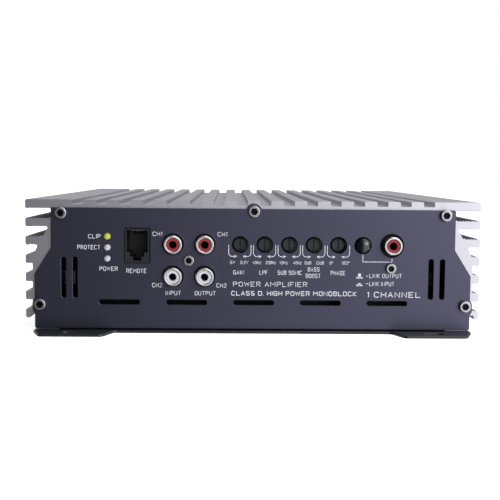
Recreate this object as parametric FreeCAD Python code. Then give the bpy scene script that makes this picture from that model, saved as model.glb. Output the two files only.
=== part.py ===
"""Car amplifier with a single bridged output, as an assembly of separate pieces. Millimetres.

Row frame: +X to the right and +Y away from someone who faces the control panel, +Z up.
The origin is the bottom centre of the whole amplifier, on the surface that it stands on.
The ribbed heat sink is an upside-down trough that runs along Y. A control panel closes its
front end (-Y), a terminal panel closes its rear end (+Y), and a base plate with four slotted
ears closes it from below.
"""

import FreeCAD
import Part

import math
import os

V = FreeCAD.Vector

# ---------------------------------------------------------------- heat sink extrusion
SINK_WIDTH = 208.4
SINK_LENGTH = 250.0
HEIGHT = 60.5
RIB_COUNT = 15          # narrow ribs on the top, an odd number
RIB_PITCH = 10.72
RIB_WIDTH = 5.7
RIB_HEIGHT = 2.3
TOP_WALL = 3.0          # plate under the grooves
FIN_COUNT = 7           # on each side, the top plate's edge included
LAST_FIN_TOP = 10.4     # height of the lowest fin's upper face
FIN_THICKNESS = 4.1
FIN_TIP_RADIUS = 0.8
GAP_ROOT_RADIUS = 1.1
SLANT_RADIUS = 0.5
UPPER_WALL_INSET = 12.0     # wall face in the first gap, in from the fin tips
LOWER_WALL_INSET = 3.2      # wall face from the fourth gap down
# Wall face between them: fall from the top of the sink in fin pitches, inset from the fin tips.
WALL_PROFILE = ((1.55, 10.4), (2.45, 5.7), (3.2, LOWER_WALL_INSET))
PANEL_SEAT = 2.5            # how far the end panel's edge covers the wall's inner face
TOOTH_PITCH = 1.36          # fine serrations on the faces of the long fins
TOOTH_DEPTH = 0.5
TOOTH_EDGE_MARGIN = 1.2
TOOTHED_FINS = 3            # fins long enough for serrations, counted from the top
SKIRT_BOTTOM = 8.3          # height at which the finned wall ends
FOOT_INSET = 5.4            # outer face of the foot below the finned wall, in from the fin tips
FLANGE_WIDTH = 10.0
FLANGE_THICKNESS = 3.0
PORT_WALL = 3.2             # metal round a screw port, from its centre
PORT_BLEND = 0.5            # slope between a port's metal and the wall beside it
INSIDE_RADIUS = 1.0
EDGE_RADIUS = 0.35
LIP_WIDTH = 2.2             # down-turned lip at the lowest fin's tip
LIP_DRAFT = 0.4

# ---------------------------------------------------------------- panels and base plate
PANEL_THICKNESS = 1.5
PANEL_TOP_DROP = 3.6        # panel's top edge below the top of the ribs
PANEL_BOTTOM = 1.6
PANEL_UPPER_INSET = 11.8    # panel's side edges, in from the fin tips
PANEL_LOWER_INSET = 4.3
PANEL_KNEE_SHARES = (0.677, 0.466)  # heights of both knees, of the panel's top edge's height
PANEL_LOBE_RADIUS = 3.6     # round a lower screw
PANEL_LOBE_DROP = 1.6       # how far the lobe reaches below it
PANEL_CORNER = 0.8
PANEL_EDGE_BREAK = 0.2
WINDOW_CORNER = 0.8
SHEET = 1.2                 # base plate
BASE_INSET = 4.2            # base plate's side edges, in from the fin tips
BASE_CORNER = 2.0
EAR_ROUNDING = 2.0
BASE_LIP = 4.5              # base plate's edge beyond the sink's end
EAR_REACH = 15.3            # ear's edge beyond the sink's end
EAR_WIDTH = 32.4            # from the base plate's side edge to the ear's inner end
EAR_FLARE = 4.1
EAR_TAPER = 4.2
SLOT_INSET = 18.3           # slot centres, in from the base plate's side edges
SLOT_OUT = 9.9              # slot centre beyond the sink's end
SLOT_LENGTH = 9.0
SLOT_WIDTH = 4.5

# ---------------------------------------------------------------- fasteners
M3_RADIUS = 1.5
THREAD_CLEARANCE = 0.05     # radial, between a screw and its tapped hole
PASS_CLEARANCE = 0.2        # radial, where a screw passes a plate
PANEL_SCREW_HEAD_RADIUS = 2.65
PANEL_SCREW_HEAD_HEIGHT = 2.0
PANEL_SCREW_SOCKET = 3.0    # across flats, as are the other sockets
PANEL_SCREW_LENGTH = 8.0
JACK_SCREW_RADIUS = 1.25
JACK_SCREW_HEAD_RADIUS = 2.35
JACK_SCREW_HEAD_HEIGHT = 1.7
JACK_SCREW_SOCKET = 2.6
INNER_SCREW_HEAD_RADIUS = 2.75
INNER_SCREW_HEAD_HEIGHT = 2.0
INNER_SCREW_SOCKET = 2.5
BOARD_SCREW_LENGTH = 6.0
SOCKET_DEPTH_SHARE = 0.75   # of a head's height
HEAD_EDGE_SHARE = 0.2       # rounding of a head's rim, of its height
SINK_PORT_TOP_INSET = 16.5  # screw ports, in from the fin tips
SINK_PORT_TOP_DROP = 6.0    # below the top of the ribs
SINK_PORT_MID_DROP = 4.8
SINK_PORT_LOW_INSET = 6.8
SINK_PORT_LOW_Z = 12.7
BASE_SCREW_INSET = 10.8     # in from the fin tips
BASE_SCREW_END_GAP = 20.0   # end rows, in from the sink's ends
BASE_SCREW_MIDDLE = 38.0    # middle rows, either way from the middle
COUNTERSINK_RADIUS = 2.8
COUNTERSINK_DEPTH = 1.5
COUNTERSINK_SOCKET = 2.0
COUNTERSINK_SOCKET_DEPTH = 0.9
BLIND_WALL = 1.0            # metal left beyond a blind hole
THREAD_END_GAP = 0.3        # between a screw's tip and its hole's end

# ---------------------------------------------------------------- control panel layout
CONTROL_DROP = 16.4         # knobs, button and upper jacks, below the panel's top edge
JACK_PITCH_X = 14.5
JACK_PITCH_Z = 14.7
JACK_BLOCK_X = -29.65       # centre of the block of four jacks
LINK_JACK_X = 63.4
LINK_SCREW_SHIFT = 0.5      # link jack's screw, left of its axis
JACK_SCREW_DROP = 10.45     # link jack's screw below its axis
KNOB_FIRST_X = -6.4
KNOB_PITCH = 11.28
KNOB_NAMES = ("gain", "lowpass", "subsonic", "bass_boost", "phase")
KNOB_HOLE_RADIUS = 3.8
JACK_HOLE_RADIUS = 4.8
LINK_HOLE_RADIUS = 5.4
LED_X = -66.75
LED_PITCH = 5.08
LED_DROP = 1.65             # middle lamp below the knobs
LED_RADIUS = 1.5
LED_CLEARANCE = 0.1
LED_PROUD = 1.3
LED_COLLAR_WIDTH = 0.35
LED_COLLAR_DEPTH = 1.0
LED_COLLAR_SETBACK = 2.0
LED_LEG = 0.5
LED_LEG_SPACING = 2.0
REMOTE_X = -53.15
REMOTE_DROP = 0.7           # socket's middle below the knobs
REMOTE_WIDTH = 11.1
REMOTE_HEIGHT = 15.5
REMOTE_WALL = 0.7
REMOTE_PROUD = 0.8
REMOTE_BACK_WALL = 2.5
REMOTE_CORNER = 0.4
REMOTE_STEPS = ((4.85, 10.1), (3.3, 12.1), (1.9, 14.0))    # half width of the mouth, down to this depth
REMOTE_WIRE_COUNT = 4
REMOTE_WIRE_PITCH = 1.27
REMOTE_WIRE = 0.5
REMOTE_WIRE_SINK = 1.2      # wires' front end behind the panel's outer face
REMOTE_WIRE_FALL = 2.4
VENT_LENGTH = 18.6
VENT_WIDTH = 2.2
VENT_ROW_Z = 13.8
VENT_ROW_PITCH = 30.7
VENT_ROW_COUNT = 5
VENT_SIDE_X = (81.5, 86.7)
VENT_SIDE_Z = 25.05
REAR_VENT_DROP = 10.0       # rear vents below the panel's top edge

# ---------------------------------------------------------------- jacks, knobs, switch
PREAMP_STANDOFF = 14.0      # preamp board behind the panel's inner face
BOARD_THICKNESS = 1.6
JACK_FACE_SETBACK = 3.5     # jack bodies behind the panel's inner face
SHELL_RADIUS = 4.15
SHELL_BORE = 3.0
SHELL_BEVEL = 0.35
SHELL_LENGTH = 9.0
INSERT_BORE = 1.75
INSERT_SETBACK = 0.3
INSERT_BEVEL = 0.25
SLEEVE_RADIUS = 2.1
SLEEVE_BORE = 1.65
SLEEVE_FLOOR = 1.0
CONTACT_SETBACK = 4.0
JACK_BODY_SIZE = 14.0
JACK_BODY_MARGIN = 7.3      # block of four, round its outer axes
JACK_BODY_CORNER = 0.8
JACK_BACK_WALL = 2.0
JACK_BOSS_RADIUS = 3.3
JACK_FOOT_DROP = 4.2        # single jack's body below its screw
SHAFT_RADIUS = 3.0
SHAFT_RECESS = 2.5          # knob's tip behind the panel's outer face
SHAFT_SLOT_WIDTH = 0.8
SHAFT_SLOT_DEPTH = 0.9
SHAFT_BEVEL = 0.25
SHAFT_END_GAP = 0.5         # behind the shaft, in its bore
GRIP_GAP = 0.4              # between the grip and the collar
SHAFT_FLUTES = 18
SHAFT_FLUTE_DEPTH = 0.28
RUNNING_CLEARANCE = 0.06
POT_WIDTH = 9.8
POT_HEIGHT = 11.4
POT_DEPTH = 6.8
POT_COLLAR_RADIUS = 3.9
POT_COLLAR_LENGTH = 2.0
POT_CORNER = 0.6
POT_BACK_WALL = 1.5
BUTTON_RADIUS = 3.2
BUTTON_PROUD = 2.8
BUTTON_TRAVEL = 2.2
PLUNGER_SIZE = 3.2
SWITCH_SIZE = 8.4
SWITCH_CORNER = 0.5
SWITCH_BACK_WALL = 0.4
BUTTON_DOME_RISE = 1.3
BUTTON_STOP_GAP = 0.5       # between the pressed button and its switch
PLUNGER_CLEARANCE = 0.1
PLUNGER_END_GAP = 0.2

# ---------------------------------------------------------------- boards
STANDOFF_HEIGHT = 7.8
STANDOFF_FLATS = 6.0
BOARD_WALL_GAP = 3.6        # between the board's side edges and the finned wall
BOARD_END_GAP = 2.0
BOARD_REAR_GAP = 0.5
BOARD_CORNER = 1.5
SHEET_MARGIN = 1.5          # between the insulating sheet and the foot of the sink
SHEET_END_GAP = 4.0
SHEET_HOLE_RADIUS = 4.2
PREAMP_SPAN_X = (-74.0, 78.0)
PREAMP_TOP_DROP = 9.5       # below the top of the ribs
HEADER_START_X = -14.0
HEADER_LENGTH = 40.0
HEADER_SIZE = 5.0
PIN_COUNT = 15
PIN_PITCH = 2.54
PIN_SIZE = 0.64
PIN_PROUD = 4.0
DRIVER_START_X = -26.0
DRIVER_LENGTH = 48.0
DRIVER_HEIGHT = 26.0
DRIVER_Y = -72.0
CHIP_COUNT = 3
CHIP_PITCH = 15.0
CHIP_WIDTH = 9.0
CHIP_HEIGHT = 10.0
CHIP_THICKNESS = 1.8
CHIP_MARGIN_X = 5.0
CHIP_MARGIN_Z = 9.4
SHEET_INSULATION = 0.4
STANDOFF_PLACES = ((-72.0, -98.0), (72.0, -98.0), (-78.0, 5.0), (14.0, 5.0), (-80.0, 105.0), (84.0, 105.0))

# ---------------------------------------------------------------- rear terminals and fuses
REAR_OVERHANG = 14.0        # terminal bodies beyond the sink's end
TERMINAL_INNER = 13.0       # how far they reach in from the sink's end
TERMINAL_HEIGHT = 23.8
SCREW_OUT = 6.2             # set screw axis beyond the sink's end
POLE_WALL = 1.6
BORE_DEPTH = 10.2
CLAMP_SETBACK = 2.0         # metal clamp behind the terminal body's face
CLAMP_WALL = 2.3            # metal beside a wire bore
CLAMP_BACK_WALL = 3.0
BODY_CORNER = 0.6           # moulded bodies' long edges
BODY_BEVEL = 0.5            # round their outer faces
MOUTH_CLEARANCE = 0.8       # wire mouth round its bore
WELL_CLEARANCE = 0.5        # well round a set screw
SET_SCREW_DROP = 0.4        # below the terminal body's top
SET_SCREW_BEVEL = 0.3
SET_SOCKET_DEPTH = 2.6
WIRE_Z = 21.5
CLAMP_TOP = 29.4
CLAMP_BOTTOM = 14.2
SCREW_REST_GAP = 0.2        # set screw's tip above the wire bore at rest
FUSE_PITCH = 15.0
FUSE_THICKNESS = 5.0
FUSE_WIDTH = 19.1
FUSE_HEAD = 9.0
FUSE_PROUD = 5.5
BLADE_WIDTH = 5.2
BLADE_THICKNESS = 0.7
BLADE_LENGTH = 11.0
BLADE_SPACING = 13.6
FUSE_CLEARANCE = 0.15
FUSE_SINK = 1.0             # fuse's outer end behind the terminals' face
FUSE_WALL = 3.4             # holder beside a fuse
FUSE_SHOULDER = 3.0         # height of the narrower outer end
FUSE_STEP = 1.2
FUSE_CORNER = 0.6
FUSE_DISH_DEPTH = 1.0       # hollow in each broad face
FUSE_DISH_MARGIN = 2.3
FUSE_DISH_HEIGHT = 9.0
BLADE_ROOT = 1.0            # blade inside the head
BLADE_END_GAP = 1.0

# ---------------------------------------------------------------- power parts on the board
TRANSISTOR_ROWS = tuple(-80.0 + 26.0 * k for k in range(6))
TRANSISTOR_WIDTH = 10.2
TRANSISTOR_BODY = 8.0
TRANSISTOR_THICKNESS = 4.5
TAB_HEIGHT = 1.0            # tab above the moulded body
TAB_THICKNESS = 1.3
TAB_START = 0.5             # tab's lower end above the body's
LEG_LENGTH = 6.2
LEG_WIDTH = 0.8
LEG_THICKNESS = 0.5
LEG_PITCH = 2.54
LEG_DEPTH = 3.5             # legs' back face from the mounting face
MOULD_SETBACK = 0.2         # moulded body's back from the mounting face
PAD_THICKNESS = 0.3
PAD_MARGIN = 0.2
PAD_OVERRUN = 2.9           # pad beyond the outer transistors
CLAMP_BAR_THICKNESS = 5.0
CLAMP_BAR_HEIGHT = 6.5
TRANSFORMER_PLACE = (46.0, 38.0)
TRANSFORMER = (11.5, 23.5, 16.0, 3.0)       # core bore, core radius, core height, winding build
INDUCTOR_PLACE = (-48.0, -48.0)
INDUCTOR = (8.5, 16.5, 13.0, 2.2)
CAN_GAP = 1.5
CAN_STAND = 0.5             # sleeve above the board
CAN_GROOVE_HEIGHT = 3.0
CAN_GROOVE_HALF = 0.9
CAN_GROOVE_DEPTH = 0.7
CAN_RIM_RADIUS = 0.9
CAN_RIM_WIDTH = 1.4
CAN_LID_DEPTH = 0.5
CAN_LID_BEVEL = 0.4
CAN_LEG_RADIUS = 0.4
CAN_LEG_SHARE = 0.45        # of the can's radius, from its axis to a leg
SUPPLY_CANS = (22.0, 94.0, 8.0, 31.0, 4, 1)     # first x, first y, radius, height, columns, rows
RAIL_CANS = (-58.0, 30.0, 11.0, 36.0, 2, 2)
FILM_COUNT = 3
FILM_PLACE = (40.0, -90.0)
FILM_SIZE = (26.0, 10.5, 19.0)
FILM_PITCH = 13.0
FILM_ROUNDING = 0.8
CORE_ROUNDING = 1.0

# ---------------------------------------------------------------- derived places
HALF_WIDTH = SINK_WIDTH / 2
FIN_PITCH = (HEIGHT - LAST_FIN_TOP) / (FIN_COUNT - 1)
FRONT = -SINK_LENGTH / 2
REAR = SINK_LENGTH / 2
PANEL_TOP = HEIGHT - PANEL_TOP_DROP
PANEL_FACE = FRONT - PANEL_THICKNESS
CONTROL_Z = PANEL_TOP - CONTROL_DROP
PANEL_UPPER_HALF = HALF_WIDTH - PANEL_UPPER_INSET
PANEL_LOWER_HALF = HALF_WIDTH - PANEL_LOWER_INSET
BASE_HALF_WIDTH = HALF_WIDTH - BASE_INSET
EAR_INNER_X = BASE_HALF_WIDTH - EAR_WIDTH
SLOT_X = BASE_HALF_WIDTH - SLOT_INSET
BASE_SCREW_X = HALF_WIDTH - BASE_SCREW_INSET
BASE_SCREW_ROWS = (FRONT + BASE_SCREW_END_GAP, -BASE_SCREW_MIDDLE, BASE_SCREW_MIDDLE, REAR - BASE_SCREW_END_GAP)
PORT_TOP = (HALF_WIDTH - SINK_PORT_TOP_INSET, HEIGHT - SINK_PORT_TOP_DROP)
PORT_MID = (0.0, HEIGHT - SINK_PORT_MID_DROP)
PORT_LOW = (HALF_WIDTH - SINK_PORT_LOW_INSET, SINK_PORT_LOW_Z)
PORTS = (PORT_TOP, (-PORT_TOP[0], PORT_TOP[1]), PORT_MID, PORT_LOW, (-PORT_LOW[0], PORT_LOW[1]))
BOARD_BOTTOM = SHEET + STANDOFF_HEIGHT
BOARD_TOP = BOARD_BOTTOM + BOARD_THICKNESS
PREAMP_FACE = FRONT + PREAMP_STANDOFF
JACK_FACE = FRONT + JACK_FACE_SETBACK
SHELL_FRONT = JACK_FACE - SHELL_LENGTH
SOCKET_END = PREAMP_FACE - JACK_BACK_WALL
JACK_SCREW_MID = (JACK_BLOCK_X, CONTROL_Z - JACK_PITCH_Z / 2)
JACK_SCREW_LINK = (LINK_JACK_X - LINK_SCREW_SHIFT, CONTROL_Z - JACK_SCREW_DROP)
KNOB_XS = tuple(KNOB_FIRST_X + KNOB_PITCH * k for k in range(len(KNOB_NAMES)))
BUTTON_X = KNOB_FIRST_X + KNOB_PITCH * len(KNOB_NAMES)
LED_Z = CONTROL_Z - LED_DROP
REMOTE_Z = CONTROL_Z - REMOTE_DROP
REMOTE_ROOF = REMOTE_Z + REMOTE_HEIGHT / 2 - REMOTE_WALL
PANEL_KNEE_HIGH, PANEL_KNEE_LOW = (PANEL_TOP * share for share in PANEL_KNEE_SHARES)
INNER_WALL_X = PANEL_LOWER_HALF - PANEL_SEAT
BOARD_HALF_WIDTH = INNER_WALL_X - BOARD_WALL_GAP
TERMINAL_FACE = REAR + REAR_OVERHANG
TERMINAL_BACK = REAR - TERMINAL_INNER
TERMINAL_TOP = BOARD_TOP + TERMINAL_HEIGHT
SCREW_Y = REAR + SCREW_OUT


# ================================================================ shape helpers
def box(x0, x1, y0, y1, z0, z1):
    """Block between two corners."""
    return Part.makeBox(x1 - x0, y1 - y0, z1 - z0, V(x0, y0, z0))


def cylinder_x(y, z, radius, x0, x1):
    """Round bar along X."""
    return Part.makeCylinder(radius, x1 - x0, V(x0, y, z), V(1, 0, 0))


def cylinder_y(x, z, radius, y0, y1):
    """Round bar along Y."""
    return Part.makeCylinder(radius, y1 - y0, V(x, y0, z), V(0, 1, 0))


def cylinder_z(x, y, radius, z0, z1):
    """Round bar along Z."""
    return Part.makeCylinder(radius, z1 - z0, V(x, y, z0), V(0, 0, 1))


def rounded_face(points, to_space):
    """Flat face inside a closed outline of (a, b, corner radius). to_space turns (a, b) into 3-D."""
    flat = [V(a, b, 0) for a, b, _ in points]
    corners = []
    for i, (_, _, radius) in enumerate(points):
        here, before, after = flat[i], flat[i - 1], flat[(i + 1) % len(flat)]
        if radius <= 0:
            corners.append((here, None, here))
            continue
        to_before = (before - here).normalize()
        to_after = (after - here).normalize()
        half = to_before.getAngle(to_after) / 2
        reach = radius / math.tan(half)
        inward = (to_before + to_after).normalize()
        middle = here + inward * (radius / math.sin(half) - radius)
        corners.append((here + to_before * reach, middle, here + to_after * reach))
    edges = []
    for i, (start, middle, end) in enumerate(corners):
        if middle is not None:
            edges.append(Part.Arc(to_space(start), to_space(middle), to_space(end)).toShape())
        following = corners[(i + 1) % len(corners)][0]
        if end.distanceToPoint(following) > 1e-6:
            edges.append(Part.LineSegment(to_space(end), to_space(following)).toShape())
    return Part.Face(Part.Wire(edges))


def prism_y(points, y0, y1):
    """Outline of (x, z, corner radius) carried from y0 to y1."""
    return rounded_face(points, lambda p: V(p.x, y0, p.y)).extrude(V(0, y1 - y0, 0))


def prism_z(points, z0, z1):
    """Outline of (x, y, corner radius) carried from z0 to z1."""
    return rounded_face(points, lambda p: V(p.x, p.y, z0)).extrude(V(0, 0, z1 - z0))


def prism_x(points, x0, x1):
    """Outline of (y, z, corner radius) carried from x0 to x1."""
    return rounded_face(points, lambda p: V(x0, p.x, p.y)).extrude(V(x1 - x0, 0, 0))


def rounded_box_y(x0, x1, y0, y1, z0, z1, radius):
    """Block whose four long edges along Y are rounded."""
    outline = [(x0, z0, radius), (x1, z0, radius), (x1, z1, radius), (x0, z1, radius)]
    return prism_y(outline, y0, y1)


def hexagon_points(a, b, flats):
    """Six corners of a hexagon of the given width across flats, flats level."""
    reach = flats / math.sqrt(3)
    turns = [math.radians(60 * k) for k in range(6)]
    return [(a + reach * math.cos(t), b + reach * math.sin(t), 0) for t in turns]


def slot_y(x, z, length, width, y0, y1, upright):
    """Round-ended slot through a plate that faces Y."""
    half_l, half_w = length / 2, width / 2
    if upright:
        half_l, half_w = half_w, half_l
    return rounded_box_y(x - half_l, x + half_l, y0, y1, z - half_w, z + half_w, width / 2 - 1e-3)


def mirror_x(shape):
    """Copy on the other side of the middle plane."""
    return shape.mirror(V(0, 0, 0), V(1, 0, 0))


def mirrored_outline(half):
    """Closed outline from its right half, which starts and ends on the middle line."""
    left = [(-a, b, r) for a, b, r in reversed(half) if abs(a) > 1e-9]
    return half + left


def break_edges(shape, size, wanted):
    """Small bevel along every edge that wanted() picks."""
    return shape.makeChamfer(size, [e for e in shape.Edges if wanted(e)])


def lies_at_y(edge, y):
    """True for an edge that lies in the plane of that Y."""
    return abs(edge.BoundBox.YMin - y) < 1e-4 and abs(edge.BoundBox.YMax - y) < 1e-4


def lies_at_z(edge, z):
    """True for an edge that lies in the plane of that Z."""
    return abs(edge.BoundBox.ZMin - z) < 1e-4 and abs(edge.BoundBox.ZMax - z) < 1e-4


def cut_all(shape, tools):
    """Shape with every tool taken away."""
    return shape.cut(Part.makeCompound(tools))


def socket_screw(radius, length, head_radius, head_height, socket_flats):
    """Screw with a rounded socket head. The head's seat is at z = 0 and its tip points down."""
    head = Part.makeCylinder(head_radius, head_height)
    rim = [e for e in head.Edges if lies_at_z(e, head_height)]
    head = head.makeFillet(head_height * HEAD_EDGE_SHARE, rim)
    floor = head_height * (1 - SOCKET_DEPTH_SHARE)
    socket = prism_z(hexagon_points(0, 0, socket_flats), floor, head_height + 1)
    shank = cylinder_z(0, 0, radius, -length, 0)
    return head.cut(socket).fuse(shank).removeSplitter()


def aimed(shape, direction, place):
    """Shape whose +Z is turned to direction, then moved to place."""
    turned = shape.copy()
    turned.Placement = FreeCAD.Placement(place, FreeCAD.Rotation(V(0, 0, 1), direction))
    return turned


# ================================================================ heat sink
def fin_top(index):
    """Height of a side fin's upper face. Fin 0 is the edge of the top plate."""
    return HEIGHT - FIN_PITCH * index


def wall_points():
    """Corners of the side wall's outer face as (x, z), from the top."""
    return [(HALF_WIDTH - inset, HEIGHT - FIN_PITCH * fall) for fall, inset in WALL_PROFILE]


def wall_face_x(z):
    """Outer face of the side wall at a height, below the second fin."""
    corners = wall_points()
    for (x_high, z_high), (x_low, z_low) in zip(corners, corners[1:]):
        if z >= z_high:
            return x_high
        if z > z_low:
            return x_high + (x_low - x_high) * (z_high - z) / (z_high - z_low)
    return corners[-1][0]


def teeth(x_from, x_to, z, into):
    """Serrated line between two places on a fin's face. into is the way to the fin's core, +1 or -1."""
    low, high = sorted((x_from, x_to))
    low, high = low + TOOTH_EDGE_MARGIN, high - TOOTH_EDGE_MARGIN
    count = int((high - low) / TOOTH_PITCH)
    points = []
    for k in range(count):
        start = low + k * TOOTH_PITCH
        points.append((start, z, 0))
        points.append((start + TOOTH_PITCH / 2, z + into * TOOTH_DEPTH, 0))
    points.append((low + count * TOOTH_PITCH, z, 0))
    return points if x_from < x_to else points[::-1]


def sink_top_half():
    """Ribs and grooves of the right half, from the middle line to the outer top corner."""
    groove = HEIGHT - RIB_HEIGHT
    half = RIB_WIDTH / 2
    edge = EDGE_RADIUS
    points = [(0, HEIGHT, 0), (half, HEIGHT, edge), (half, groove, edge)]
    for k in range(1, RIB_COUNT // 2 + 1):
        middle = RIB_PITCH * k
        points += [(middle - half, groove, edge), (middle - half, HEIGHT, edge)]
        points += [(middle + half, HEIGHT, edge), (middle + half, groove, edge)]
    slab = RIB_PITCH * (RIB_COUNT // 2 + 1) - half
    points += [(slab, groove, edge), (slab, HEIGHT, edge), (HALF_WIDTH, HEIGHT, FIN_TIP_RADIUS)]
    return points


def sink_side_half():
    """Fins and wall of the right side, from the top plate's edge down to the foot."""
    tip, root = FIN_TIP_RADIUS, GAP_ROOT_RADIUS
    below = fin_top(0) - FIN_THICKNESS
    first = HALF_WIDTH - UPPER_WALL_INSET
    margin = 2 * SLANT_RADIUS
    points = [(HALF_WIDTH, below, tip)] + teeth(HALF_WIDTH, first, below, 1) + [(first, below, root)]
    points += [(first, fin_top(1), root)] + teeth(first, HALF_WIDTH, fin_top(1), -1)
    for k in range(1, FIN_COUNT - 1):
        under, over = fin_top(k) - FIN_THICKNESS, fin_top(k + 1)
        root_under, root_over = wall_face_x(under), wall_face_x(over)
        points.append((HALF_WIDTH, fin_top(k), tip))
        points.append((HALF_WIDTH, under, tip))
        if k < TOOTHED_FINS:
            points += teeth(HALF_WIDTH, root_under, under, 1)
        points.append((root_under, under, SLANT_RADIUS))
        points += [(x, z, SLANT_RADIUS) for x, z in wall_points() if over + margin < z < under - margin]
        points.append((root_over, over, SLANT_RADIUS))
        if k + 1 < TOOTHED_FINS:
            points += teeth(root_over, HALF_WIDTH, over, -1)
    last = fin_top(FIN_COUNT - 1)
    lip = last - FIN_THICKNESS
    points += [(HALF_WIDTH, last, tip), (HALF_WIDTH, lip, tip), (HALF_WIDTH - LIP_WIDTH + LIP_DRAFT, lip, 0)]
    points.append((HALF_WIDTH - LIP_WIDTH, SKIRT_BOTTOM, EDGE_RADIUS))
    points.append((HALF_WIDTH - FOOT_INSET, SKIRT_BOTTOM, EDGE_RADIUS))
    return points


def sink_inside_half():
    """Foot, inner wall and underside of the top plate, from the foot to the middle line."""
    foot = HALF_WIDTH - FOOT_INSET
    flange_top = SHEET + FLANGE_THICKNESS
    upper_inner = PANEL_UPPER_HALF - PANEL_SEAT
    under = HEIGHT - RIB_HEIGHT - TOP_WALL
    low_face, low_z = PORT_LOW[0] - PORT_WALL, PORT_LOW[1]
    top_face, top_low = PORT_TOP[0] - PORT_WALL, PORT_TOP[1] - PORT_WALL
    inside, blend = INSIDE_RADIUS, PORT_BLEND
    return [
        (foot, SHEET, EDGE_RADIUS),
        (foot - FLANGE_WIDTH, SHEET, EDGE_RADIUS),
        (foot - FLANGE_WIDTH, flange_top, EDGE_RADIUS),
        (INNER_WALL_X, flange_top, inside),
        (INNER_WALL_X, low_z - PORT_WALL - blend, EDGE_RADIUS),
        (low_face, low_z - PORT_WALL + blend, inside),
        (low_face, low_z + PORT_WALL - blend, inside),
        (INNER_WALL_X, low_z + PORT_WALL + blend, EDGE_RADIUS),
        (INNER_WALL_X, PANEL_KNEE_LOW, inside),
        (upper_inner, PANEL_KNEE_HIGH, inside),
        (upper_inner, top_low, inside),
        (top_face, top_low, inside),
        (top_face, under, inside),
        (PORT_WALL + blend, under, inside),
        (PORT_WALL, PORT_MID[1] - PORT_WALL, inside),
        (0, PORT_MID[1] - PORT_WALL, 0),
    ]


def heat_sink():
    """Extruded aluminium trough with ribs, fins, screw ports and tapped holes."""
    half = sink_top_half() + sink_side_half() + sink_inside_half()
    sink = prism_y(mirrored_outline(half), FRONT, REAR)
    hole = M3_RADIUS + THREAD_CLEARANCE
    tools = [cylinder_y(x, z, hole, FRONT - 1, REAR + 1) for x, z in PORTS]
    for side in (-1, 1):
        for y in BASE_SCREW_ROWS:
            tools.append(cylinder_z(side * BASE_SCREW_X, y, hole, 0, SHEET + FLANGE_THICKNESS + 1))
            tools.append(countersink(side * BASE_SCREW_X, y, PASS_CLEARANCE / 2))
        for y in clamp_screw_rows():
            inner, outer = INNER_WALL_X - 1, clamp_hole_end()
            span = (inner, outer) if side > 0 else (-outer, -inner)
            tools.append(cylinder_x(y, clamp_bar_z(), hole, *span))
    return cut_all(sink, tools)


def countersink(x, y, grow):
    """Cone that a countersunk head fills, wider by grow."""
    return Part.makeCone(
        COUNTERSINK_RADIUS + grow, M3_RADIUS + grow, COUNTERSINK_DEPTH, V(x, y, 0), V(0, 0, 1)
    )


# ================================================================ panels and base plate
def panel_blank(y0, y1):
    """Plain end panel with its three screw lobes and five screw holes."""
    upper, lower = PANEL_UPPER_HALF, PANEL_LOWER_HALF
    half = [
        (0, PANEL_TOP, 0),
        (upper, PANEL_TOP, PANEL_CORNER),
        (upper, PANEL_KNEE_HIGH, PANEL_CORNER),
        (lower, PANEL_KNEE_LOW, PANEL_CORNER),
        (lower, PANEL_BOTTOM, PANEL_CORNER),
        (0, PANEL_BOTTOM, 0),
    ]
    plate = prism_y(mirrored_outline(half), y0, y1)
    lobed = (PORT_MID, PORT_LOW, (-PORT_LOW[0], PORT_LOW[1]))
    lobes = [cylinder_y(x, z - drop, PANEL_LOBE_RADIUS, y0, y1) for x, z in lobed for drop in (0, PANEL_LOBE_DROP)]
    plate = plate.multiFuse(lobes).removeSplitter()
    radius = M3_RADIUS + PASS_CLEARANCE
    return cut_all(plate, [cylinder_y(x, z, radius, y0 - 1, y1 + 1) for x, z in PORTS])


def side_vents(y0, y1):
    """Cutters for the upright vents near both sides."""
    places = [side * x for side in (-1, 1) for x in VENT_SIDE_X]
    return [slot_y(x, VENT_SIDE_Z, VENT_LENGTH, VENT_WIDTH, y0, y1, True) for x in places]


def row_vents(z, y0, y1):
    """Cutters for a row of level vents."""
    places = [VENT_ROW_PITCH * (k - (VENT_ROW_COUNT - 1) / 2) for k in range(VENT_ROW_COUNT)]
    return [slot_y(x, z, VENT_LENGTH, VENT_WIDTH, y0, y1, False) for x in places]


def jack_places():
    """Axes of the four jacks, left column first and the upper one of each column first."""
    xs = (JACK_BLOCK_X - JACK_PITCH_X / 2, JACK_BLOCK_X + JACK_PITCH_X / 2)
    return [(x, z) for x in xs for z in (CONTROL_Z, CONTROL_Z - JACK_PITCH_Z)]


def led_places():
    """Axes of the three lamps, from the top."""
    return [(LED_X, LED_Z + LED_PITCH * k) for k in (1, 0, -1)]


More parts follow.
